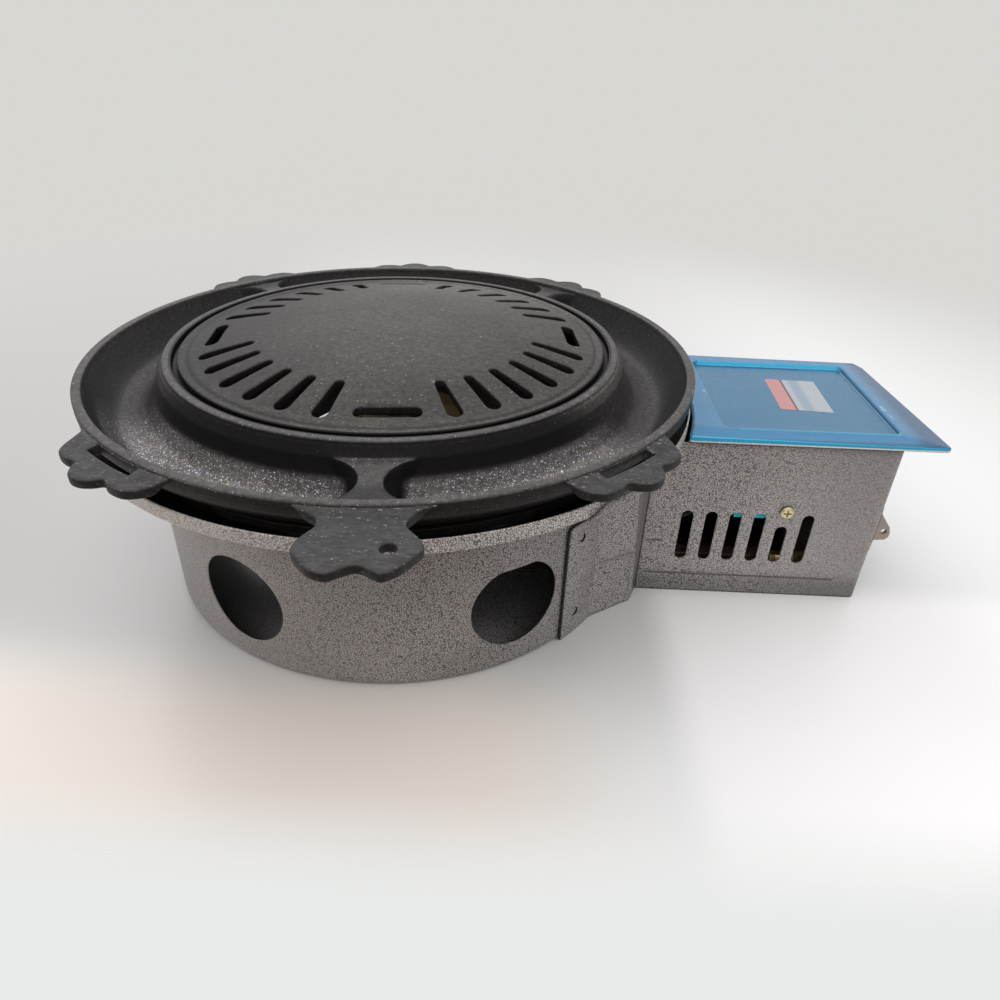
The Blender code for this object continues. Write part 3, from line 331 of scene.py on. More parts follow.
def coated(shader, colour, roughness, height, strength, depth):
    """Gives a shader a colour, roughness and bump that vary."""
    feed(shader.inputs["Base Color"], colour)
    feed(shader.inputs["Roughness"], roughness)
    bump = node(shader.id_data, "Bump", {"Strength": strength, "Distance": depth, "Height": height})
    feed(shader.inputs["Normal"], bump.outputs[0])


# Hammertone: small light islands with dark wormlike grooves between them, drifting a little in tone.
hammer_group, given, taken = coat_group("hammertone_grooves", [
    ("Grain", "Float", 900.0), ("Contrast", "Float", 1.0), ("Light", "Float", 1.0),
    ("Island", "Color", (0.43, 0.405, 0.392, 1)), ("Groove", "Color", (0.05, 0.047, 0.045, 1))])
spot = node(hammer_group, "TexCoord").outputs["Object"]
cells = node(hammer_group, "TexVoronoi", {"Vector": warped(spot, 1.0, 0.9 * mm), "Scale": given["Grain"],
                                          "Randomness": 1.0}, feature="DISTANCE_TO_EDGE")
island = math_of("MAXIMUM", ranged(cells.outputs["Distance"], 0.02, 0.17),
                 math_of("MULTIPLY_ADD", given["Contrast"], -0.62, 0.62))
drift = times(ranged(noise(spot, 14.0, 2.0)[0], 0.3, 0.7, 0.93, 1.06), given["Light"])
feed(taken["Color"], lit(mixed(island, given["Groove"], given["Island"]), drift))
feed(taken["Roughness"], ranged(island, 0.0, 1.0, 0.55, 0.36))
feed(taken["Height"], times(island, given["Contrast"]))


def hammertone(name, grain, contrast, light):
    """Grey hammertone enamel, its contrast and light made from the place and the normal."""
    made, tree, shader = finish(name, 0.2, 0.42)
    axes = axes_of(tree, "Object"), axes_of(tree, "Normal")
    paint = node(tree, "Group", {"Grain": grain, "Contrast": contrast(*axes), "Light": light(*axes)},
                 node_tree=hammer_group).outputs
    coated(shader, paint["Color"], paint["Roughness"], paint["Height"], 0.3, 0.25 * mm)
    return made


def drum_light(places, normals):
    """Painted light: a painted highlight on the upright lip, and painted shade under the flare, at the foot
    and inside the drum.
    """
    facing = outward_of(places, normals)
    floor = times(ranged(facing, 0.01, 0.0), zone(places[2], 30, 20))
    under = math_of("MAXIMUM", zone(places[2], 90, 98, 1.0, 0.42), zone(places[2], 100, 102))
    return times(zone(places[2], 101, 103.5, 1.0, 1.75), under, zone(places[2], 0.6, 2, 0.35, 1.0),
                 ranged(facing, -0.02, 0.01, 0.03, 1.0), level_on(floor, 0.15))


def drum_contrast(places, normals):
    """Clear grain to the right, softer to the left, and nearly smooth in the flare's bend."""
    bend = times(zone(places[2], 92, 97), zone(places[2], 103, 101))
    return times(zone(places[0], -118, 60, 0.1, 0.95), level_on(bend, 0.4))


drum_paint = hammertone("drum_hammertone", 900.0, drum_contrast, drum_light)

flare = [(135.6, 84.0), (137.37, 89.5), (144.45, 95.59), (155.66, 99.01), (163.2, 101.9)]
drum_line = arc((131.6, 4.0), 4.0, -90, 0, 9) + [(135.6, z) for z in np.arange(7, 84, 3.0)]
drum_line += eased(flare, 6) + arc((163.1, 104.0), 2.0, -52, 0, 5)
drum_line += [(165.1, z) for z in (106.5, 109.0, 110.0)]
drum_line = np.array(drum_line) * mm
drum_run = run_of(drum_line)
drum_side = unit(np.gradient(drum_line, drum_run, axis=0))


def drum_place(u, v, depth):
    """A point of the drum's sheet: u runs round the wall, v up its profile from the floor."""
    r = np.interp(v, drum_run, drum_line[:, 0]) - np.interp(v, drum_run, drum_side[:, 1]) * depth
    z = np.interp(v, drum_run, drum_line[:, 1]) + np.interp(v, drum_run, drum_side[:, 0]) * depth
    return (r * math.cos(u / drum_radius), r * math.sin(u / drum_radius), z)


vent_run = float(np.interp(vent_height, drum_line[9:35, 1], drum_run[9:35]))
vents = []
for number, angle in enumerate(vent_angles):
    circle = np.array(arc((0, 0), vent_radius, 0, 360, 97)[:-1])
    if number == 0:
        circle[:, 1] = np.minimum(circle[:, 1], vent_radius * 0.91)
    vents.append(circle + ((angle % math.tau) * drum_radius, vent_run))
round_run = math.tau * drum_radius
steps_round = np.linspace(0, round_run, 241)
steps_up = drum_run[1:-1]
drum_outline = [(u, 0.0) for u in steps_round] + [(round_run, v) for v in steps_up]
drum_outline += [(u, drum_run[-1]) for u in steps_round[::-1]] + [(0.0, v) for v in steps_up[::-1]]
drum = pierced_plate("drum_skin", drum_outline, vents, steps_round, steps_up, 0.35 * mm, drum_sheet,
                     drum_place, drum_paint, 2)
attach(drum, "base")
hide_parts("drum_shell")

floor_edge = 131.7 * mm
floor_middle = 0.5 * mm
floor_line = [(floor_middle, 0.0), (floor_edge, 0.0), (floor_edge, drum_sheet), (floor_middle, drum_sheet),
              (floor_middle, 0.0)]
floor_angles = np.linspace(0, math.tau, 120, endpoint=False)
drum_floor = sheet_object(
    "drum_floor", [(r * math.cos(a), r * math.sin(a), z) for r, z in floor_line for a in floor_angles],
    ring_faces(len(floor_line), len(floor_angles)), drum_paint)
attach(drum_floor, "base")

# Two neck shrouds close the gap between the drum and the gas box. Each is a bent sheet in the same
# paint: it hugs the drum, where two punched tongues hold it, runs out flat with a pressed hollow low
# down, kinks in to the box's corner, and laps over the drum's flare and lip at the top.
neck_radius = 137.1 * mm
neck_sheet = 1.1 * mm
neck_edge = 44.4
neck_box_side = 33.5
box_left = 144.0 * mm
box_right = 274.7 * mm
box_front = -48.05 * mm
box_back = 61.0 * mm
box_height = 99.0 * mm
box_sheet = 1.2 * mm
flare_line = np.array(eased(flare + [(165.1, 103.0)], 8)) * mm


def fold_share(places):
    """1 on the fold beside the box, whose edge leans left as it rises."""
    return zone(math_of("MULTIPLY_ADD", places[2], 0.075, places[0]), 140.9, 141.5)


# The fold beside the box gets painted shade with little grain, and the rest of the shroud is painted a little
# lighter.
neck_paint = hammertone(
    "neck_hammertone", 860.0, lambda places, normals: level_on(fold_share(places), 0.1),
    lambda places, normals: ranged(fold_share(places), 0.0, 1.0, 1.12, 0.5))


def flare_height(radius):
    """Height of the flare's underside at a radius."""
    return float(np.interp(radius, flare_line[:, 0], flare_line[:, 1]))


def plan_line(points, bend, step):
    """A plan path with its corners rounded: its steps, even points and side vectors."""
    path = [np.array(points[0])]
    for before, corner, after in zip(points, points[1:], points[2:]):
        before, corner, after = np.array(before), np.array(corner), np.array(after)
        reach = min(bend, 0.45 * np.linalg.norm(corner - before), 0.45 * np.linalg.norm(after - corner))
        start = corner + (before - corner) / np.linalg.norm(before - corner) * reach
        end = corner + (after - corner) / np.linalg.norm(after - corner) * reach
        for t in np.linspace(0, 1, 7):
            path.append(start * (1 - t) ** 2 + corner * 2 * t * (1 - t) + end * t * t)
    path = np.array(path + [np.array(points[-1])])
    run = run_of(path)
    steps = np.linspace(0, run[-1], max(2, int(run[-1] / step) + 1))
    even = np.stack([np.interp(steps, run, path[:, i]) for i in (0, 1)], 1)
    side = unit(np.gradient(even, axis=0))
    return steps, even, np.stack((side[:, 1], -side[:, 0]), 1)


def solid_grid(name, rows, thick, look):
    """A closed sheet from rows of outer points and the matching inward steps."""
    loops = [[p for p, _ in row] + [np.array(p) + np.array(n) * thick for p, n in row[::-1]] for row in rows]
    size = len(loops[0])
    faces = ring_faces(len(loops), size)
    for start, first in ((0, 0), ((len(loops) - 1) * size, 1)):
        for j in range(size // 2 - 1):
            rim = (start + j, start + j + 1, start + size - 2 - j, start + size - 1 - j)
            faces.append(rim[first:] + rim[:first])
    return sheet_object(name, [p for loop in loops for p in loop], faces, look)


def soft_step(low, high, value):
    """0 below the low value, 1 above the high one, smooth between."""
    t = min(max((value - low) / (high - low), 0.0), 1.0)
    return t * t * (3 - 2 * t)


def neck_wall(name, side, kink, end):
    """The upright part of a neck shroud, with its pressed hollow."""
    bend = [(neck_radius * math.cos(math.radians(a)), side * neck_radius * math.sin(math.radians(a)))
            for a in np.linspace(neck_edge, neck_box_side, 12)]
    steps, line, sides = plan_line(bend + [kink, end], 2.2 * mm, 1.0 * mm)
    bend_end = math.radians(neck_edge - neck_box_side) * neck_radius
    corner = 3.0 * mm
    hollow_depth = 3.2 * mm
    kink_run = steps[-1] - math.dist(kink, end)
    rows = []
    for share in np.linspace(0, 1, 64):
        row = []
        for s, (x, y), normal in zip(steps, line, sides):
            peak = min(flare_height(math.hypot(x, y)) - 0.6 * mm, box_height)
            if s < bend_end:
                away = max(corner - s, 0)
                peak = 73.0 * mm - corner + math.sqrt(corner ** 2 - away ** 2)
            z = share * peak
            hollow = (1 - soft_step(32.5 * mm, 37.5 * mm, z)) * soft_step(3.5 * mm, 7.0 * mm, z)
            hollow *= 0.35 + 0.65 * soft_step(4.0 * mm, 33.0 * mm, z)
            along = soft_step(0.4 * bend_end, bend_end * 1.1, s)
            along *= 1 - soft_step(kink_run - 4 * mm, kink_run, s)
            out = np.array((normal[0], normal[1])) * (1 if side < 0 else -1)
            shift = out * hollow * along * -hollow_depth
            row.append(((x + shift[0], y + shift[1], z), (-out[0], -out[1], 0)))
        rows.append(row)
    return solid_grid(name, rows, neck_sheet, neck_paint)


def neck_lap(name, side):
    """The lap of a neck shroud over the drum's flare and lip."""
    rows = []
    lap_line = [(135.6 * mm, 78.0 * mm)] + [tuple(p) for p in flare_line] + [(165.1 * mm, 107.4 * mm)]
    lap_out = 1.5 * mm
    for number, (r, z) in enumerate(lap_line):
        before = lap_line[max(number - 1, 0)]
        after = lap_line[min(number + 1, len(lap_line) - 1)]
        run = np.array(after) - np.array(before)
        run /= np.linalg.norm(run)
        outward = (run[1], -run[0])
        share = max(z - 72 * mm, 0) / (35.5 * mm)
        left = neck_edge + 7.4 * soft_step(74 * mm, 103 * mm, z) - 2.8 * soft_step(103 * mm, 108 * mm, z)
        row = []
        for step in np.linspace(0, 1, 40):
            angle = math.radians(left * (1 - step) + (neck_box_side + 4.5 * share) * step) * side
            radius = r + outward[0] * lap_out
            height = z + outward[1] * (lap_out if number else 0)
            back = (-outward[0] * math.cos(angle), -outward[0] * math.sin(angle), -outward[1])
            row.append(((radius * math.cos(angle), radius * math.sin(angle), height), back))
        rows.append(row)
    return solid_grid(name, rows, neck_sheet, neck_paint)


for node_name, side, kink, corner_y in (("neck_front", -1, -59.35 * mm, box_front),
                                        ("neck_back", 1, 67.0 * mm, box_back)):
    skin = neck_wall(node_name + "_skin", side, (139.3 * mm, kink), (143.7 * mm, corner_y))
    lap = neck_lap(node_name + "_lap", side)
    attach(skin, "base")
    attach(lap, "base")
    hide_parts(node_name)

# The shroud's raw edge stands off the drum, and the shadow in that gap is drawn as a dark line with a
# round corner at the top. Each tongue is a half ring punched out of the shroud and bent through the
# drum's wall; the shadow along its cut is drawn as a dark curved line.
seam_radius = 136.5 * mm
seam_corner = 3.4 * mm
tongue_radius = 2.5 * mm
shadow_gap_look, tree, shader = finish("painted_shadow_gap", 0.0, 0.75)
shadow = node(tree, "TexNoise", {"Scale": 900.0}).outputs[0]
feed(shader.inputs["Base Color"], mixed(shadow, (0.004, 0.004, 0.004, 1), (0.014, 0.013, 0.013, 1)))


def shadow_gap_line(name, spots, widths):
    """A dark line of painted shadow along (angle, height, radius) spots on the shroud, as wide as each spot
    says.
    """
    curve = bpy.data.curves.new(name, "CURVE")
    curve.dimensions = "3D"
    curve.bevel_depth = 1.0
    curve.bevel_resolution = 2
    line = curve.splines.new("POLY")
    line.points.add(len(spots) - 1)
    for point, (angle, height, reach), width in zip(line.points, spots, widths):
        point.co = (reach * math.cos(angle), reach * math.sin(angle), height, 1)
        point.radius = width
    curve.materials.append(shadow_gap_look)
    made = linked(name, curve)
    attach(made, "base")


for side in (-1, 1):
    start = side * math.radians(44.75)
    spots = [(start, z * mm, seam_radius) for z in np.arange(0.8, 69, 4)]
    spots += [(start - side * along / neck_radius, up, seam_radius)
              for along, up in arc((seam_corner, 70.1 * mm), seam_corner, 180, 90, 7)]
    spots += [(side * math.radians(angle), 73.9 * mm, 136.7 * mm) for angle in (41, 39, 37, 35)]
    shadow_gap_line("neck_seam", spots, [0.7 * mm] * len(spots))
    for height in (64.1 * mm, 15.3 * mm):
        spots = [(side * math.radians(40.6) - side * along / neck_radius, height + up, neck_radius + 0.1 * mm)
                 for along, up in arc((0, 0), tongue_radius, -125, 55, 15)]
        widths = [0.25 * mm + 0.45 * mm * math.sin(math.pi * (i + 0.5) / 15) ** 2 for i in range(15)]
        shadow_gap_line("neck_tongue", spots, widths)

# The gas box's front, end and back are one sheet bent round two corners. Six upright slots let air
# to the burner tube, the fifth cut short under the screw. A long crease near the floor and a short
# one beside the first slot are pressed in.
window_places = [box_left + (23.2 + 13.5 * place) * mm for place in range(6)]
window_tops = [56.4 * mm] * 4 + [48.2 * mm, 56.4 * mm]
window_foot = 23.4 * mm
window_half = 3.3 * mm
crease_depth = 0.75 * mm
wall_steps, wall_line, wall_sides = plan_line(
    [(box_left, box_front), (box_right, box_front), (box_right, box_back), (box_left, box_back)],
    3.4 * mm, 0.5 * mm)
wall_run = wall_steps[-1]


def run_at(x, y):
    """Distance along the box's wall at the point nearest to x, y."""
    return float(wall_steps[np.argmin(np.hypot(wall_line[:, 0] - x, wall_line[:, 1] - y))])


def wall_place(u, v, depth):
    """A point of the box's sheet: u runs round it, v is height."""
    x, y = (np.interp(u, wall_steps, wall_line[:, i]) for i in (0, 1))
    nx, ny = (np.interp(u, wall_steps, wall_sides[:, i]) for i in (0, 1))
    length = math.hypot(nx, ny)
    crease = math.exp(-((v - 12.0 * mm) / (0.9 * mm)) ** 2)
    crease *= soft_step(3.0 * mm, 5.5 * mm, u) * (1 - soft_step(112.5 * mm, 115.5 * mm, u))
    dash = math.exp(-((v - 35.2 * mm) / (0.7 * mm)) ** 2)
    dash *= soft_step(1.5 * mm, 2.8 * mm, u) * (1 - soft_step(9.5 * mm, 11.0 * mm, u))
    inward = depth + (crease + dash) * crease_depth
    return (x - nx / length * inward, y - ny / length * inward, v)


wall_holes = []
for place, peak in zip(window_places, window_tops):
    u = run_at(place, box_front)
    low, high = window_foot + window_half, peak - window_half
    hole = arc((u, high), window_half, 0, 180, 13) + arc((u, low), window_half, 180, 360, 13)
    hole += [(u + window_half, up) for up in np.linspace(low, high, 10)[1:-1]]
    wall_holes.append(hole)
for y, height, radius in ((13.0 * mm, 45.0 * mm, 4.7 * mm), (45.0 * mm, 24.0 * mm, 5.8 * mm)):
    wall_holes.append(arc((run_at(box_right, y), height), radius, 0, 360, 33)[:-1])
around = np.concatenate((np.arange(0, wall_run, 2.0 * mm), [wall_run]))
up_wall = np.concatenate((np.arange(0, 8, 2), np.arange(8, 16, 0.6), np.arange(16, 33, 2.2),
                          np.arange(33, 38, 0.6), np.arange(38, 97, 2.6), [99.0])) * mm
wall_outline = [(u, 0.0) for u in around] + [(wall_run, v) for v in up_wall[1:-1]]
wall_outline += [(u, box_height) for u in around[::-1]] + [(0.0, v) for v in up_wall[-2:0:-1]]


def box_light(places, normals):
    """Painted light: full outside the box, lighter towards its left end and a little darker at the far end,
    with painted shade inside it, in the pressed creases and along the foot.
    """
    inner = math_of("MAXIMUM", times(ranged(normals[1], 0.4, 0.8), zone(places[1], 0, -20)),
                    times(ranged(normals[1], -0.4, -0.8), zone(places[1], 0, 20)))
    crease = stroke(places, 2, 12.6, 1.5, 0.3, 0, 147.75, 258.75, 0.75)
    dash = stroke(places, 2, 35.6, 1.5, 0.3, 0, 146.25, 155.25, 0.75)
    return times(level_on(inner, 0.1), level_on(crease, 0.5), level_on(dash, 0.45),
                 zone(places[2], 0.3, 1.5, 0.3, 1.0), zone(places[2], 6, 20, 0.6, 1.0),
                 zone(places[0], 200, 268, 1.22, 0.93))


# The paint is mottled near the neck and smooth near the far end.
box_paint = hammertone("box_hammertone", 800.0, lambda places, normals: times(
    zone(places[0], 175, 262, 1.0, 0.12), 0.8), box_light)
box_skin = pierced_plate("box_skin", wall_outline, wall_holes, around[1:-1], up_wall[1:-1], 0.3 * mm,
                         box_sheet, wall_place, box_paint, 2)
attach(box_skin, "base")
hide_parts("box_walls")

# The lid is a shallow pressed pan of bright sheet, still under its blue protective film: turned-down
# edges, a sunk panel with round corners, a sloping right end and a left side cut round the drum. The
# film wrinkles at the folds, and a plain label without print is stuck on it.
lid_front = box_front - 1.95 * mm
lid_back = box_back + 1.95 * mm
lid_right = box_right + 23.1 * mm
lid_low = 99.3 * mm
lid_top = 106.0 * mm
lid_bend = 1.8 * mm
panel_low = (179.0 * mm, -41.8 * mm)
panel_high = (273.6 * mm, 52.5 * mm)
panel_depth = 2.6 * mm
panel_bend = 0.9 * mm
corner_least = 0.9 * mm


def share_of(value, full):
    """How much of the full length a value covers, from 0 to 1."""
    return min(max(value / full, 0), 1)


def lid_fall(x, y):
    """How far the lid's top falls: a slope to the right end and a slight one to the front edge."""
    over = soft_step(lid_right - 15.5 * mm, lid_right - 1.0 * mm, x)
    over = max(x - (lid_right - 14 * mm), 0) / (14 * mm) * 0.6 + over * 0.4
    over *= 1.45 - 0.5 * (y - lid_front) / (lid_back - lid_front)
    return max(2.6 * mm * over, 1.9 * mm * share_of(panel_low[1] - y, panel_low[1] - lid_front))


def lid_ring(inset, height):
    """One loop round the lid's edge; its right side leans in to the back."""
    back_corner = max(7.5 * mm - inset, corner_least)
    corner = max(4.0 * mm - inset, corner_least)
    clear = lip_radius + 1.7 * mm + inset
    low, high = lid_front + inset, lid_back - inset
    plan = arc((lid_right - inset - back_corner, high - back_corner), back_corner, 0, 90, 14)
    start, end = math.asin(high / clear), math.asin(low / clear)
    nose = 2.6 * mm / clear
    start_x, end_x = clear * math.cos(start), clear * math.cos(end)
    plan += [(start_x + 2.0 * mm, high), (start_x + 0.6 * mm, high - 0.25 * mm)]
    for angle in np.linspace(start - nose * 0.6, end + nose * 0.6, 60):
        plan.append((clear * math.cos(angle), clear * math.sin(angle)))
    plan += [(end_x + 0.6 * mm, low + 0.25 * mm), (end_x + 2.0 * mm, low)]
    plan += arc((lid_right - inset - corner, low + corner), corner, 270, 360, 14)
    low_share = share_of(lid_top - height, lid_top - lid_low)
    ring = []
    for x, y in plan:
        lift = 1.0 * mm * (1 - soft_step(lid_front, lid_front + 12 * mm, y))
        z = height - lid_fall(x, y) * (1 - low_share) + lift * low_share
        lean = 0.068 * (y - lid_front) * soft_step(panel_high[0] + 2 * mm, lid_right, x)
        ring.append((x - lean, y, z))
    return ring


def panel_ring(inset, height):
    """One loop of the sunk panel, with as many points as the lid's edge."""
    corner = max(5.0 * mm - inset, 1.0 * mm)
    low = (panel_low[0] + inset, panel_low[1] + inset + corner)
    high = (panel_high[0] - inset - corner, panel_high[1] - inset - corner)
    plan = arc(high, corner, 0, 90, 14) + arc((low[0] + corner, high[1]), corner, 90, 180, 16)
    plan += [(low[0], y) for y in np.linspace(high[1], low[1], 34)[1:-1]]
    plan += arc((low[0] + corner, low[1]), corner, 180, 270, 16)
    plan += arc((high[0], low[1]), corner, 270, 360, 14)
    return [(x, y, height) for x, y in plan]


def between(first, second, share):
    """A loop part way between two others."""
    return [tuple(np.array(a) * (1 - share) + np.array(b) * share) for a, b in zip(first, second)]


rings = [lid_ring(0, lid_low), lid_ring(0, lid_low + 2.0 * mm)]
for angle in np.radians(np.linspace(0, 90, 7)):
    rings.append(lid_ring(lid_bend * (1 - math.cos(angle)), lid_top - lid_bend * (1 - math.sin(angle))))
edge_ring, panel_edge = rings[-1], panel_ring(-0.6 * mm, lid_top)
for share in (0.06, 0.2, 0.4, 0.6, 0.8, 0.94):
    rings.append(between(edge_ring, panel_edge, share))
for angle in np.radians(np.linspace(0, 70, 5)):
    rings.append(panel_ring(panel_bend * math.sin(angle) - 0.6 * mm,
                            lid_top - panel_bend * (1 - math.cos(angle))))
for angle in np.radians(np.linspace(70, 0, 5)):
    rings.append(panel_ring(1.7 * mm - panel_bend * math.sin(angle),
                            lid_top - panel_depth + panel_bend * (1 - math.cos(angle))))
panel_floor = rings[-1]
size = len(panel_floor)
middle = np.mean([np.array(p) for p in panel_floor], axis=0)
for share in (0.25, 0.5, 0.75, 0.97):
    rings.append(between(panel_floor, [middle] * size, share))
vertices = [p for ring in rings for p in ring]
faces = ring_faces(len(rings), size)
faces.append(tuple(range(len(vertices) - size, len(vertices))))

film, tree, shader = finish("film_on_steel", 0.4, 0.28, Coat_Weight=0.25, Coat_Roughness=0.12)
spot = node(tree, "TexCoord").outputs["Object"]
places, normals = axes_of(tree, "Object"), axes_of(tree, "Normal")
wave = noise(spot, 26.0, 2.0, Distortion=0.6)[0]
fine = noise(spot, 260.0, 3.0)[0]
sunk = mixed(zone(places[0], 190, 255), (0.026, 0.165, 0.305, 1), (0.042, 0.165, 0.285, 1))
far_corner = times(zone(places[0], 268, 278), zone(places[1], -20, -38), ranged(wave, 0.42, 0.56))
right_step = times(ranged(normals[0], -0.8, -0.93), zone(places[2], 104.9, 104.5))
bubble = times(ranged(fine, 0.45, 0.6), math_of(
    "MAXIMUM", stroke(places, 0, 178.0, 1.8, 0.72, 1, -1.5, 6.5),
    stroke(places, 0, 275.5, 1.6, 0.64, 1, -23, -6)))
bare_edge = times(zone(places[2], 101.5, 101.1), ranged(normals[1], -0.6, -0.9))
# Over the film's own blues the colour carries painted light: painted shade on the sloping right end, along
# the foot of the panel's back wall, on faces turned to the right and on the panel's right step; painted
# highlights on faces turned to the front, on faces turned to the back, and along the panel's front step.
blue = layered(
    mixed(zone(places[2], 103.2, 104.2), sunk, (0.065, 0.24, 0.44, 1)),
    (ranged(places[0], lid_right - 22 * mm, lid_right - 11 * mm), (0.02, 0.10, 0.22)),
    (ranged(wave, 0.35, 0.65, 0.0, 0.25), (0.045, 0.20, 0.36)),
    (far_corner, (0.03, 0.06, 0.24)),
    (stroke(places, 1, 50.0, 0.7, 0.28, 0, 181, 246), (0.01, 0.05, 0.11)),
    (ranged(normals[1], -0.5, -0.9), (0.05, 0.52, 0.82)),
    (ranged(normals[1], 0.06, 0.3), (0.05, 0.42, 0.52)),
    (ranged(normals[0], 0.1, 0.5, 0.0, 0.45), (0.02, 0.08, 0.16)),
    (right_step, (0.002, 0.02, 0.05)),
    (stroke(places, 1, -41.2, 2.2, 0.88, 0, 187, 272), (0.06, 0.47, 0.6)),
    (bubble, (0.28, 0.52, 0.62)),
    (bare_edge, (0.75, 0.76, 0.76)),
    (ranged(normals[2], -0.3, -0.6), (0.42, 0.43, 0.44)))
ripple = math_of("MULTIPLY_ADD", bubble, 0.1, math_of("MULTIPLY_ADD", fine, 0.06, wave))
coated(shader, blue, ranged(fine, 0.3, 0.7, 0.18, 0.32), ripple, 0.5, 1.2 * mm)
lid_skin = sheet_object("lid_skin", vertices, faces, film)
sheet = lid_skin.modifiers.new("sheet", "SOLIDIFY")
sheet.thickness = 0.9 * mm
sheet.offset = -1.0
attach(lid_skin, "lid")
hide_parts("lid")

# The label is a small paper rectangle on the sunk panel; only plain bands of colour stand for its print.
label_corners = [(220.2, 32.5), (249.9, 31.4), (247.5, -12.8), (218.3, -10.5)]
label_height = lid_top - 2.55 * mm
paper, tree, shader = finish("label_paper", 0.0, 0.55)
across = axes_of(tree, "UV")[0]
fibre = node(tree, "TexNoise", {"Scale": 900.0, "Detail": 3.0}).outputs[0]
feed(shader.inputs["Base Color"], layered(
    mixed(fibre, (0.36, 0.40, 0.43, 1), (0.48, 0.52, 0.55, 1)),
    (times(ranged(across, 0.42, 0.5), ranged(across, 0.72, 0.6)), (0.30, 0.37, 0.44)),
    (ranged(across, 0.31, 0.29), (0.55, 0.27, 0.27)),
    (times(ranged(across, 0.29, 0.31), ranged(across, 0.35, 0.33)), (0.12, 0.09, 0.11))))
bm = bmesh.new()
face = bm.faces.new([bm.verts.new((x * mm, y * mm, label_height)) for x, y in label_corners])
uv = bm.loops.layers.uv.new("label")
for loop, at in zip(face.loops, ((0, 1), (1, 1), (1, 0), (0, 0))):
    loop[uv].uv = at
bmesh.ops.recalc_face_normals(bm, faces=bm.faces)
label_mesh = bpy.data.meshes.new("lid_label")
bm.to_mesh(label_mesh)
bm.free()
label_mesh.materials.append(paper)
label = linked("lid_label", label_mesh)
thickness = label.modifiers.new("paper", "SOLIDIFY")
thickness.thickness = 0.12 * mm
thickness.offset = 0.0
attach(label, "lid")

# The pan is one aluminium casting under a speckled non-stick coat: a ledge and collar for the plate,
# a drip moat cut into three by dividers whose pockets end in half circles, a narrow rim, and six
# flat handles at the rim. The coat is sprayed in two layers, charcoal first, then small pale flecks.
pan_radius = 165.0 * mm
rim_inner = 160.5 * mm
moat_foot = 126.3 * mm
moat_floor = 106.7 * mm
pan_top = 127.2 * mm
divider_top = 125.2 * mm
divider_waist = 5.4 * mm
divider_foot = 3.6 * mm
divider_round = 0.4 * mm
pocket_radius = 17.8 * mm
divider_angles = [math.radians(a) for a in (-86.0, 54.0, 134.0)]

fleck_group, given, taken = coat_group("cast_flecks", [
    ("Ground", "Color", (0.02, 0.02, 0.02, 1)), ("Density", "Float", 0.3), ("Cell", "Float", 520.0),
    ("Stretch", "Vector", (1, 1, 1)), ("Warm", "Color", (0.3, 0.26, 0.2, 1)),
    ("Cool", "Color", (0.27, 0.29, 0.32, 1))])
spot = node(fleck_group, "VectorMath", {
    0: node(fleck_group, "TexCoord").outputs["Object"], 1: given["Stretch"]}, operation="MULTIPLY").outputs[0]
shift = warped(spot, 2.0, 1.1 * mm)
mottle = noise(spot, 420.0, 4.0, Roughness=0.65)[0]
tone = lit(given["Ground"], times(ranged(mottle, 0.3, 0.7, 0.62, 1.4),
                                  ranged(noise(spot, 22.0, 2.0)[0], 0.3, 0.7, 0.86, 1.14)))
gathered = 0.0
for cell_share, size, amount in ((1.0, 0.15, 1.0), (2.1, 0.2, 0.8), (0.6, 0.1, 0.5)):
    spots = node(fleck_group, "TexVoronoi", {"Vector": shift, "Scale": times(given["Cell"], cell_share),
                                             "Randomness": 1.0}, feature="F1")
    kinds = node(fleck_group, "SeparateColor", {0: spots.outputs["Color"]}).outputs
    spread = math_of("MULTIPLY_ADD", kinds[1], size, size * 0.6)
    fleck = times(ranged(spots.outputs["Distance"], math_of("ADD", spread, 0.05),
                         math_of("SUBTRACT", spread, 0.05)),
                  math_of("LESS_THAN", kinds[0], times(given["Density"], amount)),
                  math_of("MULTIPLY_ADD", kinds[2], 0.7, 0.3))
    tone = mixed(fleck, tone, mixed(ranged(kinds[1], 0.45, 0.55), given["Warm"], given["Cool"]))
    gathered = math_of("MAXIMUM", gathered, fleck)
feed(taken["Color"], tone)
feed(taken["Roughness"], ranged(gathered, 0.0, 1.0, 0.5, 0.32))
feed(taken["Height"], mottle)


def cast_coat(name, colours, density, light, rough=0.42, edge_highlight_share=0.1, cell=520.0, stretch=(1, 1, 1)):
    """Speckled non-stick coat on a casting; colours are its ground and its warm and cool flecks."""
    made, tree, shader = finish(name, 0.0, rough, Specular_IOR_Level=0.25)
    places, normals = axes_of(tree, "Object"), axes_of(tree, "Normal")
    ground, warm, cool = ((*colour, 1) for colour in colours)
    coat = node(tree, "Group", {"Ground": ground, "Warm": warm, "Cool": cool, "Cell": cell,
                                "Stretch": stretch, "Density": density(places)},
                node_tree=fleck_group).outputs
    # Sharp edges are painted pale, as a painted highlight.
    edge = times(ranged(node(tree, "NewGeometry").outputs["Pointiness"], 0.52, 0.62), edge_highlight_share)
    colour = mixed(edge, lit(coat["Color"], light(places, normals)), (0.30, 0.29, 0.28, 1))
    coated(shader, colour, coat["Roughness"], coat["Height"], 0.35, 0.2 * mm)
    return made


def reach_of(places):
    """Distance from the drum's axis."""
    return math_of("SQRT", outward_of(places, places))


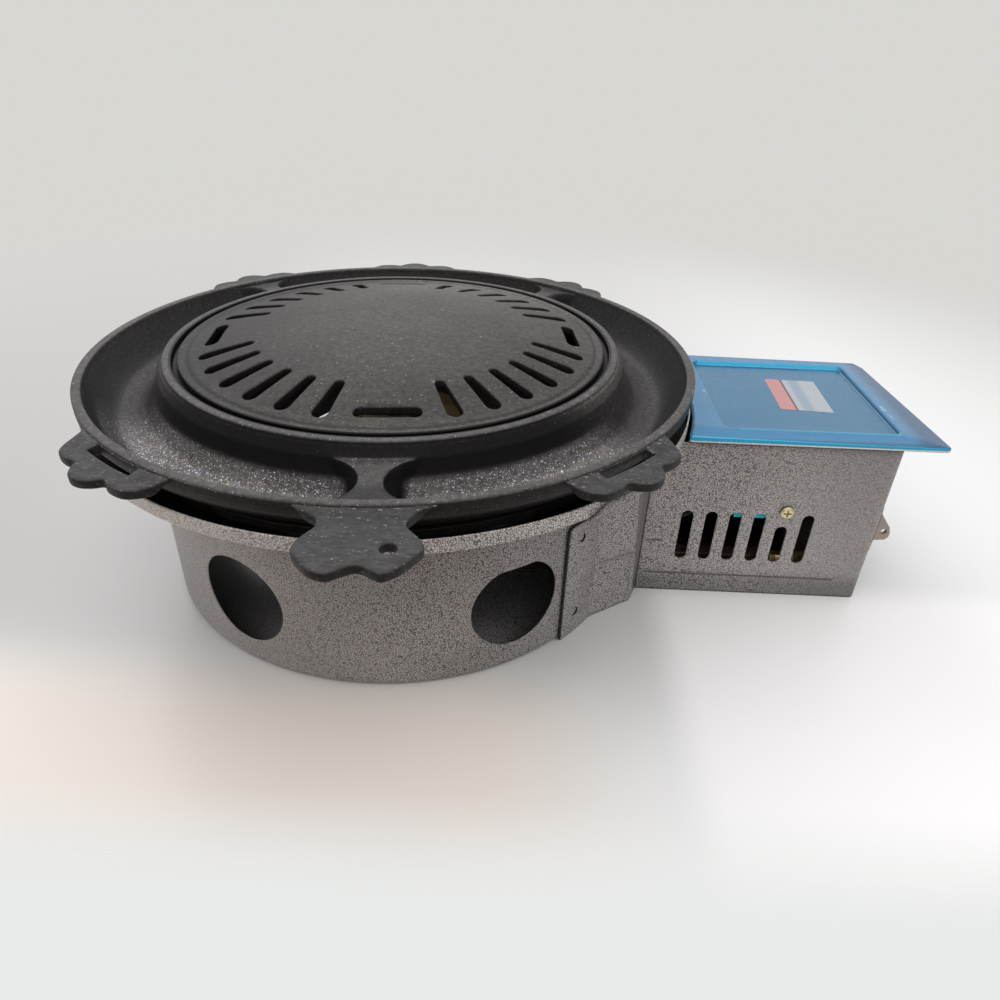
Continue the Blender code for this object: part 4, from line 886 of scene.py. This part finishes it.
def front_moat(places, reach):
    """1 in the moat's front part, away from the front divider's top; and how low in it a point lies."""
    turn = math_of("ABSOLUTE", math_of("ADD", math_of("ARCTAN2", places[1], places[0]), 1.501))
    top_share = times(zone(places[2], 124.8, 125.1), ranged(turn, 0.15, 0.1), zone(places[2], 126.3, 125.6))
    inside = times(zone(reach, 122.6, 123), zone(reach, 160, 159.4), zone(places[2], 131.6, 131.2),
                   math_of("SUBTRACT", 1.0, top_share), zone(places[1], -50, -95))
    return inside, times(zone(places[2], 119, 114.5), ranged(turn, 0.08, 0.12))


def pan_flecks_and_glints(places):
    """Flecks are sparse, and dense low in the front moat, where they stand for a painted glint of light."""
    return math_of("MULTIPLY_ADD", times(*front_moat(places, reach_of(places))), 0.95, 0.15)


def pan_light(places, normals):
    """Painted light: painted highlights on the rim, the collar and the moat floor; painted shade on the
    ledge, the collar's inner wall, the moat's outer slope and the outside below the rim; in the front moat, a
    painted shadow high up and a painted glint low down.
    """
    reach = reach_of(places)
    inside, low = front_moat(places, reach)
    high = zone(places[2], 126, 126.8)
    rim = times(zone(reach, 160, 160.9), high)
    collar = times(zone(reach, 124.5, 123.5), high)
    floor = times(zone(reach, 123, 124), zone(reach, 150, 145))
    by_collar = times(floor, zone(reach, 140, 130))
    slope = times(zone(reach, 147, 151), zone(reach, 160.6, 160))
    flank = times(ranged(outward_of(places, normals), 0.06, 0.12), zone(places[2], 126.6, 125.6))
    front_moat_shade_and_glint = math_of("MULTIPLY_ADD", inside, math_of("MULTIPLY_ADD", low, 3.64, -0.94), 1.0)
    return times(level_on(rim, 2.3), level_on(collar, 2.4), zone(reach, 119.4, 119.9, 0.05, 1.0),
                 level_on(by_collar, 1.5), level_on(floor, 1.45), level_on(slope, 0.5), front_moat_shade_and_glint,
                 level_on(flank, 0.45))


pan_coat = cast_coat("pan_coat", ((0.034, 0.0305, 0.030), (0.34, 0.25, 0.14), (0.24, 0.27, 0.31)),
                     pan_flecks_and_glints, pan_light, edge_highlight_share=0.2, cell=660.0)


def plain_rings(points):
    """Rings of the pan that the dividers leave alone, from radius and height in millimetres."""
    return [(r * mm, z * mm, False) for r, z in points]


moat_middle = 0.5 * (moat_foot + rim_inner)
moat_half = 0.5 * (rim_inner - moat_foot)
section = plain_rings([(106.0, 123.2), (106.0, 127.6), (106.6, 128.2), (112.0, 128.2), (117.6, 128.2),
                       (118.2, 128.6), (118.3, 129.2), (118.3, 131.0)] + arc((119.0, 131.25), 0.7, 180, 90, 5)
                      + [(120.6, 131.95)] + arc((122.2, 131.25), 0.7, 90, 0, 5))
for share in np.concatenate((np.linspace(-1, -0.8, 9)[:-1], np.linspace(-0.8, 0.8, 26)[:-1],
                             np.linspace(0.8, 0.97, 8))):
    power = 3.2 if share < 0 else 2.1
    rise = (pan_top - moat_floor) * 0.94 * abs(share) ** power
    section.append((moat_middle + moat_half * share, moat_floor + rise, True))
section += plain_rings([(160.4, 126.2)] + arc((161.3, 126.4), 0.8, 170, 90, 5) + [(162.7, 127.2)]
                       + arc((164.2, 126.4), 0.8, 90, 0, 5))
under = [(165.0, 124.5), (164.9, 122.4), (163.6, 118.6), (155.5, 110.9), (144.2, 105.0), (139.3, 102.5)]
section += plain_rings([(min(r, 165.0), z) for r, z in eased(under, 4)]
                       + [(126.3, 102.5), (119.8, 106.0), (118.3, 123.2), (112.0, 123.2)])


def divider_half(radius):
    """Half width of a divider's flat top: two round pocket ends back to back."""
    away = min(abs(radius - moat_middle), pocket_radius)
    return divider_waist + pocket_radius - math.sqrt(pocket_radius ** 2 - away ** 2)


def pan_row(radius, height, fills):
    """One ring of the pan, raised to the dividers' tops where they fill the moat."""
    flat_half = (divider_half(radius) - divider_round) / radius
    reach = (divider_foot + divider_round) / radius
    slopes = np.linspace(0, 1, 9)[1:]
    ring = []
    for centre, following in zip(divider_angles, divider_angles[1:] + [divider_angles[0] + math.tau]):
        start = centre + flat_half
        end = following - flat_half
        ring += [(centre + share * flat_half, 1.0) for share in np.linspace(-1, 1, 9)]
        ring += [(start + reach * share, 1 - soft_step(0.0, 1.0, share)) for share in slopes]
        count = int(round(150 * (following - centre) / math.tau * 3))
        ring += [(start + reach + (end - start - 2 * reach) * share, 0.0)
                 for share in np.linspace(0, 1, count)[1:-1]]
        ring += [(end - reach * share, 1 - soft_step(0.0, 1.0, share)) for share in slopes[::-1]]
    lift = max(divider_top - height, 0) if fills else 0
    return [(radius * math.cos(angle), radius * math.sin(angle), height + lift * raised)
            for angle, raised in ring]


pan_rows = [pan_row(*ring) for ring in section]
pan = sheet_object("pan_casting", [p for row in pan_rows for p in row],
                   ring_faces(len(pan_rows), len(pan_rows[0]), True), pan_coat)
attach(pan, "pan")
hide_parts("ring_pan")

# Six handles are cast on the rim: five alike with a curved slot, and a broad lobed one in front with
# a round hole to hang the pan by. Their edges are rounded by the mould.
handle_top = 125.0 * mm
handle_thick = 4.4 * mm
handle_drop = 1.2 * mm
slot_wide = 4.9 * mm
side_shape = [(-0.16, 1.0), (0.22, 0.94), (0.48, 0.85), (0.65, 0.72), (0.69, 0.5), (0.63, 0.34), (0.8, 0.25),
              (0.95, 0.13), (1.0, 0.0)]
side_shape += [(out, -along) for out, along in side_shape[-2::-1]]
tail_out = (-0.05, 0.01, 0.08, 0.13, 0.18, 0.27, 0.42, 0.53, 0.66, 0.80, 0.90, 0.96, 0.985, 0.97, 0.92, 0.87,
            0.89, 0.93, 0.97, 0.995, 0.96, 0.89, 0.80, 0.69, 0.61, 0.50, 0.38, 0.29, 0.22, 0.14, 0.03, -0.05)
tail_along = (-1.13, -1.04, -0.87, -0.74, -0.70, -0.70, -0.85, -0.93, -0.94, -0.81, -0.68, -0.54, -0.40,
              -0.30, -0.17, 0.0, 0.12, 0.21, 0.30, 0.39, 0.52, 0.66, 0.78, 0.91, 0.97, 0.93, 0.81, 0.71,
              0.68, 0.73, 0.89, 1.14)
# The handles' sides are painted darker than their tops, as painted shade.
handle_coat = cast_coat(
    "handle_coat", ((0.052, 0.049, 0.049), (0.32, 0.28, 0.22), (0.30, 0.32, 0.34)),
    lambda places: zone(reach_of(places), 168.5, 166, 0.3, 0.8),
    lambda places, normals: ranged(normals[2], 0.25, 0.8, 0.38, 0.9), cell=560.0, stretch=(0.5, 1.2, 1.0))


def turned(x, y, angle):
    """A plan point turned about the drum's axis."""
    return x * math.cos(angle) - y * math.sin(angle), x * math.sin(angle) + y * math.cos(angle)


def handle(name, shape, reach, half, angle, hole):
    """A flat handle on the rim, its shape given as shares of its reach and half width."""
    spots = []
    for out, along in shape:
        rim = math.sqrt(pan_radius ** 2 - min(abs(along) * half, half) ** 2)
        spots.append((max(pan_radius + reach * out, rim - 1.6 * mm), along * half))
    root = pan_radius - 3.2 * mm
    sweep = math.degrees(math.asin(half / root))
    line = [p for p in eased(spots, 4) if math.hypot(*p) > root + 0.4 * mm]
    line += arc((0, 0), root, sweep, -sweep, 15)

    def place(u, v, depth):
        """The handle's plan turned to its angle; its top slopes up to the rim and falls a little outwards."""
        out = math.hypot(u, v) - pan_radius
        thin = soft_step(0.72 * half, 1.1 * half, abs(v)) * (1 - soft_step(2 * mm, 7 * mm, out))
        depth *= 1 - 0.8 * thin
        rise = handle_drop * (1 - soft_step(0.0, 9 * mm, out)) * (depth < 2 * mm)
        return (*turned(u, v, angle), handle_top - 0.35 * mm * max(out, 0) / reach + rise - depth)

    columns = np.arange(root - 2 * mm, pan_radius + reach + 2 * mm, 2.0 * mm)
    rows = np.arange(-half - 2 * mm, half + 2 * mm, 2.0 * mm)
    made = pierced_plate(name, line, [hole], columns, rows, 0.9 * mm, handle_thick, place, handle_coat, 3)
    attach(made, "pan")


near = pan_radius + 0.5 * mm
grip_slot = arc((0, 0), near + slot_wide, -5.5, 5.5, 15) + arc((0, 0), near, 5.5, -5.5, 15)
for number, angle in enumerate(np.radians((-126, -46, 54, 94, 134))):
    handle("side_handle_" + str(number + 1), side_shape, 20.1 * mm, 33.0 * mm, angle, grip_slot)
hang_hole = arc((pan_radius + 24.3 * mm, 11.1 * mm), 3.1 * mm, 0, 360, 25)[:-1]
handle("front_handle", list(zip(tail_out, tail_along)), 38.9 * mm, 24.5 * mm, math.radians(-86), hang_hole)

# The grill plate is a shallow cast dome with a flat border, four groups of six radial slots that
# widen outwards, and a cross slot between the groups. It lies loose on the pan's ledge. Its coat is
# brownish with pale flecks, and its slot edges are painted bright as a highlight.
plate_radius = 115.5 * mm
plate_groove = 110.4 * mm
outer_half, inner_half = 3.8 * mm, 2.5 * mm
outer_end = 104.8 * mm - outer_half
inner_end = 76.5 * mm + inner_half
plate_line = eased([(0, 143.8), (30, 143.2), (55, 141.2), (78, 138.1), (95, 134.7), (105, 132.5),
                    (109.6, 131.9), (110.8, 131.1), (112, 131.2), (113.2, 131.9), (115.5, 131.9)], 6)
plate_line = np.array(plate_line) * mm


def plate_light(places, normals):
    """Painted light: painted shade on the slot walls, side and border groove, towards the left and towards
    the front, and a painted sheen behind, where the coat is smooth.
    """
    reach = reach_of(places)
    groove = math_of("ABSOLUTE", math_of("SUBTRACT", reach, plate_groove))
    back = times(zone(places[1], 25, 90), zone(places[0], -60, 40))
    return times(ranged(normals[2], 0.3, 0.8, 0.3, 1.0), zone(reach, 114.3, 114.9, 1.0, 0.1),
                 zone(groove, 0.4, 1.3, 0.45, 1.0), zone(places[0], -100, -10, 0.42, 1.0),
                 zone(places[1], -80, 30, 0.75, 1.0), ranged(back, 0.0, 1.0, 0.9, 1.5))


plate_coat = cast_coat("plate_coat", ((0.070, 0.061, 0.056), (0.30, 0.26, 0.2), (0.27, 0.29, 0.32)),
                       lambda places: zone(places[1], 10, -95, 0.08, 0.5), plate_light, rough=0.46,
                       edge_highlight_share=0.55, stretch=(0.8, 1.0, 1.0))


def plate_place(u, v, depth):
    """A point of the plate: its plan place, raised to the dome, with a small groove inside the border."""
    return (u, v, float(np.interp(math.hypot(u, v), plate_line[:, 0], plate_line[:, 1])) - depth)


def slot_side(shares, side):
    """Points along one straight side of a radial slot, at shares of the way inwards."""
    return [(outer_end + (inner_end - outer_end) * t, side * (outer_half + (inner_half - outer_half) * t))
            for t in shares]


side_shares = (0.2, 0.4, 0.6, 0.8)
radial_slot = arc((outer_end, 0), outer_half, -90, 90, 13) + slot_side(side_shares, 1)
radial_slot += arc((inner_end, 0), inner_half, 90, 270, 11) + slot_side(side_shares[::-1], -1)
cross_slot = []
cross_middle = 98.0 * mm
cross_corner = 3.2 * mm
quadrants = ((1, 1), (-1, 1), (-1, -1), (1, -1))
for number, (cx, cy) in enumerate(quadrants):
    cross_slot += arc((cross_middle + cx * 0.3 * mm, cy * 12.2 * mm), cross_corner,
                      90 * number, 90 * number + 90, 7)
slots = []
for group in range(4):
    first = math.radians(6.0 - 90.0 + 90.0 * group)
    turns = [first + math.radians(45.0 + 11.07 * (place - 2.5)) for place in range(6)]
    slots += [[turned(x, y, angle) for x, y in radial_slot] for angle in turns]
    slots.append([turned(x, y, first) for x, y in cross_slot])
grid_steps = np.arange(-116 * mm, 116.1 * mm, 2.0 * mm)
plate = pierced_plate("plate_casting", arc((0, 0), plate_radius, 0, 360, 361)[:-1], slots, grid_steps,
                      grid_steps, 0.8 * mm, 4.4 * mm, plate_place, plate_coat, 4)
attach(plate, "plate")
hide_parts("grill_plate")

# The fittings inside and behind the box keep their CAD shapes, with softened edges and finishes.
# Each finish drifts between two tones; after them come its metallic share, its roughness and, where
# it isn't the usual one, the scale of its patches.
finishes = {
    "zinc_steel": ((0.45, 0.46, 0.47), (0.6, 0.61, 0.62), 0.9, 0.35),
    "dark_steel": ((0.03, 0.03, 0.032), (0.07, 0.068, 0.066), 0.6, 0.5),
    "burner_iron": ((0.05, 0.048, 0.046), (0.12, 0.11, 0.1), 0.6, 0.6, 300.0),
    "bronzed_tube": ((0.13, 0.085, 0.065), (0.2, 0.13, 0.1), 0.9, 0.3),
    "filmed_zinc": ((0.0, 0.3, 0.4), (0.01, 0.4, 0.5), 0.3, 0.3),
    "brass": ((0.72, 0.53, 0.2), (0.85, 0.66, 0.3), 0.95, 0.28),
    "burnt_brass": ((0.2, 0.13, 0.05), (0.42, 0.3, 0.12), 0.85, 0.45),
    "die_cast": ((0.3, 0.25, 0.22), (0.46, 0.4, 0.36), 0.75, 0.5, 260.0),
    "gold_zinc": ((0.62, 0.55, 0.3), (0.8, 0.74, 0.5), 0.9, 0.3),
    "knob_plastic": ((0.012, 0.012, 0.013), (0.03, 0.03, 0.031), 0.0, 0.42),
    "piezo_plastic": ((0.02, 0.3, 0.45), (0.05, 0.42, 0.58), 0.0, 0.35),
    "ceramic": ((0.72, 0.7, 0.65), (0.84, 0.82, 0.78), 0.0, 0.3),
    "lead_rubber": ((0.015, 0.015, 0.015), (0.035, 0.034, 0.033), 0.0, 0.6)}
special = {"igniter_bracket": "filmed_zinc", "burner_cap": "burnt_brass"}
replaced = {"drum_shell", "neck_front", "neck_back", "box_walls", "lid", "ring_pan", "grill_plate"}


def worn(name, first, second, metallic, roughness, scale=180.0):
    """A metal or plastic whose tone and polish drift between two colours."""
    made, tree, shader = finish(name, metallic, roughness)
    patch = noise(node(tree, "TexCoord").outputs["Object"], scale, 4.0)[0]
    colour = mixed(patch, (*first, 1), (*second, 1))
    # The screw's cross recess gets painted shade.
    if name == "gold_zinc":
        recess = ranged(axes_of(tree, "Object")[1], box_front - 1.5 * mm, box_front - 0.9 * mm, 0.0, 0.9)
        colour = mixed(recess, colour, (0.12, 0.06, 0.03, 1))
    coated(shader, colour, ranged(patch, 0.3, 0.7, roughness * 0.8, roughness * 1.25), patch, 0.1, 0.05 * mm)
    return made


looks = {name: worn(name, *values) for name, values in finishes.items()}
for name in sorted(set(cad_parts) - replaced):
    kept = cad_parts[name]
    slot_name = kept.data.materials[0].name.split(".")[0]
    weld = kept.modifiers.new("weld", "WELD")
    weld.merge_threshold = 1e-5
    bevel = kept.modifiers.new("bevel", "BEVEL")
    bevel.width = 0.4 * mm
    bevel.segments = 2
    bevel.angle_limit = math.radians(32)
    bevel.limit_method = "ANGLE"
    smooth = kept.modifiers.new("normals", "WEIGHTED_NORMAL")
    smooth.keep_sharp = False
    kept.data.materials.clear()
    kept.data.materials.append(looks[special.get(name, slot_name)])
    kept.data.shade_smooth()

# The grill stands on a white glossy table that runs back with no edge to a pale wall. Daylight comes
# from above and behind, with a window at the back left; the room in front is darker and warmer, and a
# soft lamp hangs there, high at the right.
table_white, tree, shader = finish("table_white", 0.0, 0.3)
spot = node(tree, "TexCoord").outputs["Object"]
places = axes_of(tree, "Object")
glow = times(ranged(places[1], -0.10, -0.16), ranged(places[1], -0.29, -0.20), ranged(places[0], 0.15, 0.05))
beside = times(ranged(places[1], -0.03, -0.06), ranged(places[0], 0.14, 0.17))
# The table's colour carries painted light: painted shade to the left, lighter towards the front and the
# right, a warm painted reflection in front of the drum and a painted pool of light in front of the gas box.
feed(shader.inputs["Base Color"], layered(
    mixed(noise(spot, 2.5, 2.0)[0], (0.66, 0.65, 0.635, 1), (0.70, 0.695, 0.685, 1)),
    (ranged(places[0], -0.12, -0.30), (0.55, 0.54, 0.525)),
    (ranged(places[1], -0.08, -0.20), (0.88, 0.875, 0.86)),
    (ranged(places[0], 0.12, 0.42), (0.9, 0.9, 0.89)),
    (glow, (0.93, 0.85, 0.77)),
    (beside, (1.0, 0.985, 0.97))))
away = node(tree, "VectorMath", {0: spot}, operation="LENGTH").outputs["Value"]
feed(shader.inputs["Alpha"], times(ranged(away, 0.35, 0.95, 1.0, 0.0), ranged(places[1], -0.25, -0.19)))
table_half = 1.2
table_corners = [(x * table_half, y * table_half, 0.0) for x, y in quadrants]
table = sheet_object("table", table_corners, [(0, 1, 2, 3)], table_white)
table.location.z = cad_box[0][2]

world = bpy.data.worlds.new("room")
bpy.context.scene.world = world
world.use_nodes = True
tree = world.node_tree
direction = axes_of(tree, "Generated")
behind = mixed(ranged(direction[1], -0.5, 0.6), (0.30, 0.27, 0.25, 1), (0.72, 0.72, 0.72, 1))
room = mixed(ranged(direction[2], 0.0, 0.75), behind, (1.02, 1.02, 1.04, 1))
wall = mixed(ranged(direction[2], -0.3, -0.8), (0.686, 0.679, 0.651, 1), (0.815, 0.831, 0.823, 1))
seen = node(tree, "LightPath").outputs["Is Camera Ray"]
feed(tree.nodes["Background"].inputs[0], mixed(seen, room, wall))
tree.nodes["Background"].inputs[1].default_value = 1.0
bpy.context.scene.view_settings.view_transform = "Standard"


def window(name, place, aim, width, height, power):
    """A soft rectangular light that stands for a window."""
    lamp = bpy.data.lights.new(name, "AREA")
    lamp.shape = "RECTANGLE"
    lamp.size = width
    lamp.size_y = height
    lamp.energy = power
    made = linked(name, lamp)
    made.matrix_world = Matrix.Translation(Vector(place)) @ (
        Vector(aim) - Vector(place)).to_track_quat("-Z", "Y").to_matrix().to_4x4()


window("back_window", (-0.5, 1.3, 1.2), (0, 0, 0.1), 1.2, 0.8, 4)
window("room_light", (0.5, -0.4, 1.6), (0.05, 0, 0.1), 1.0, 1.0, 3)
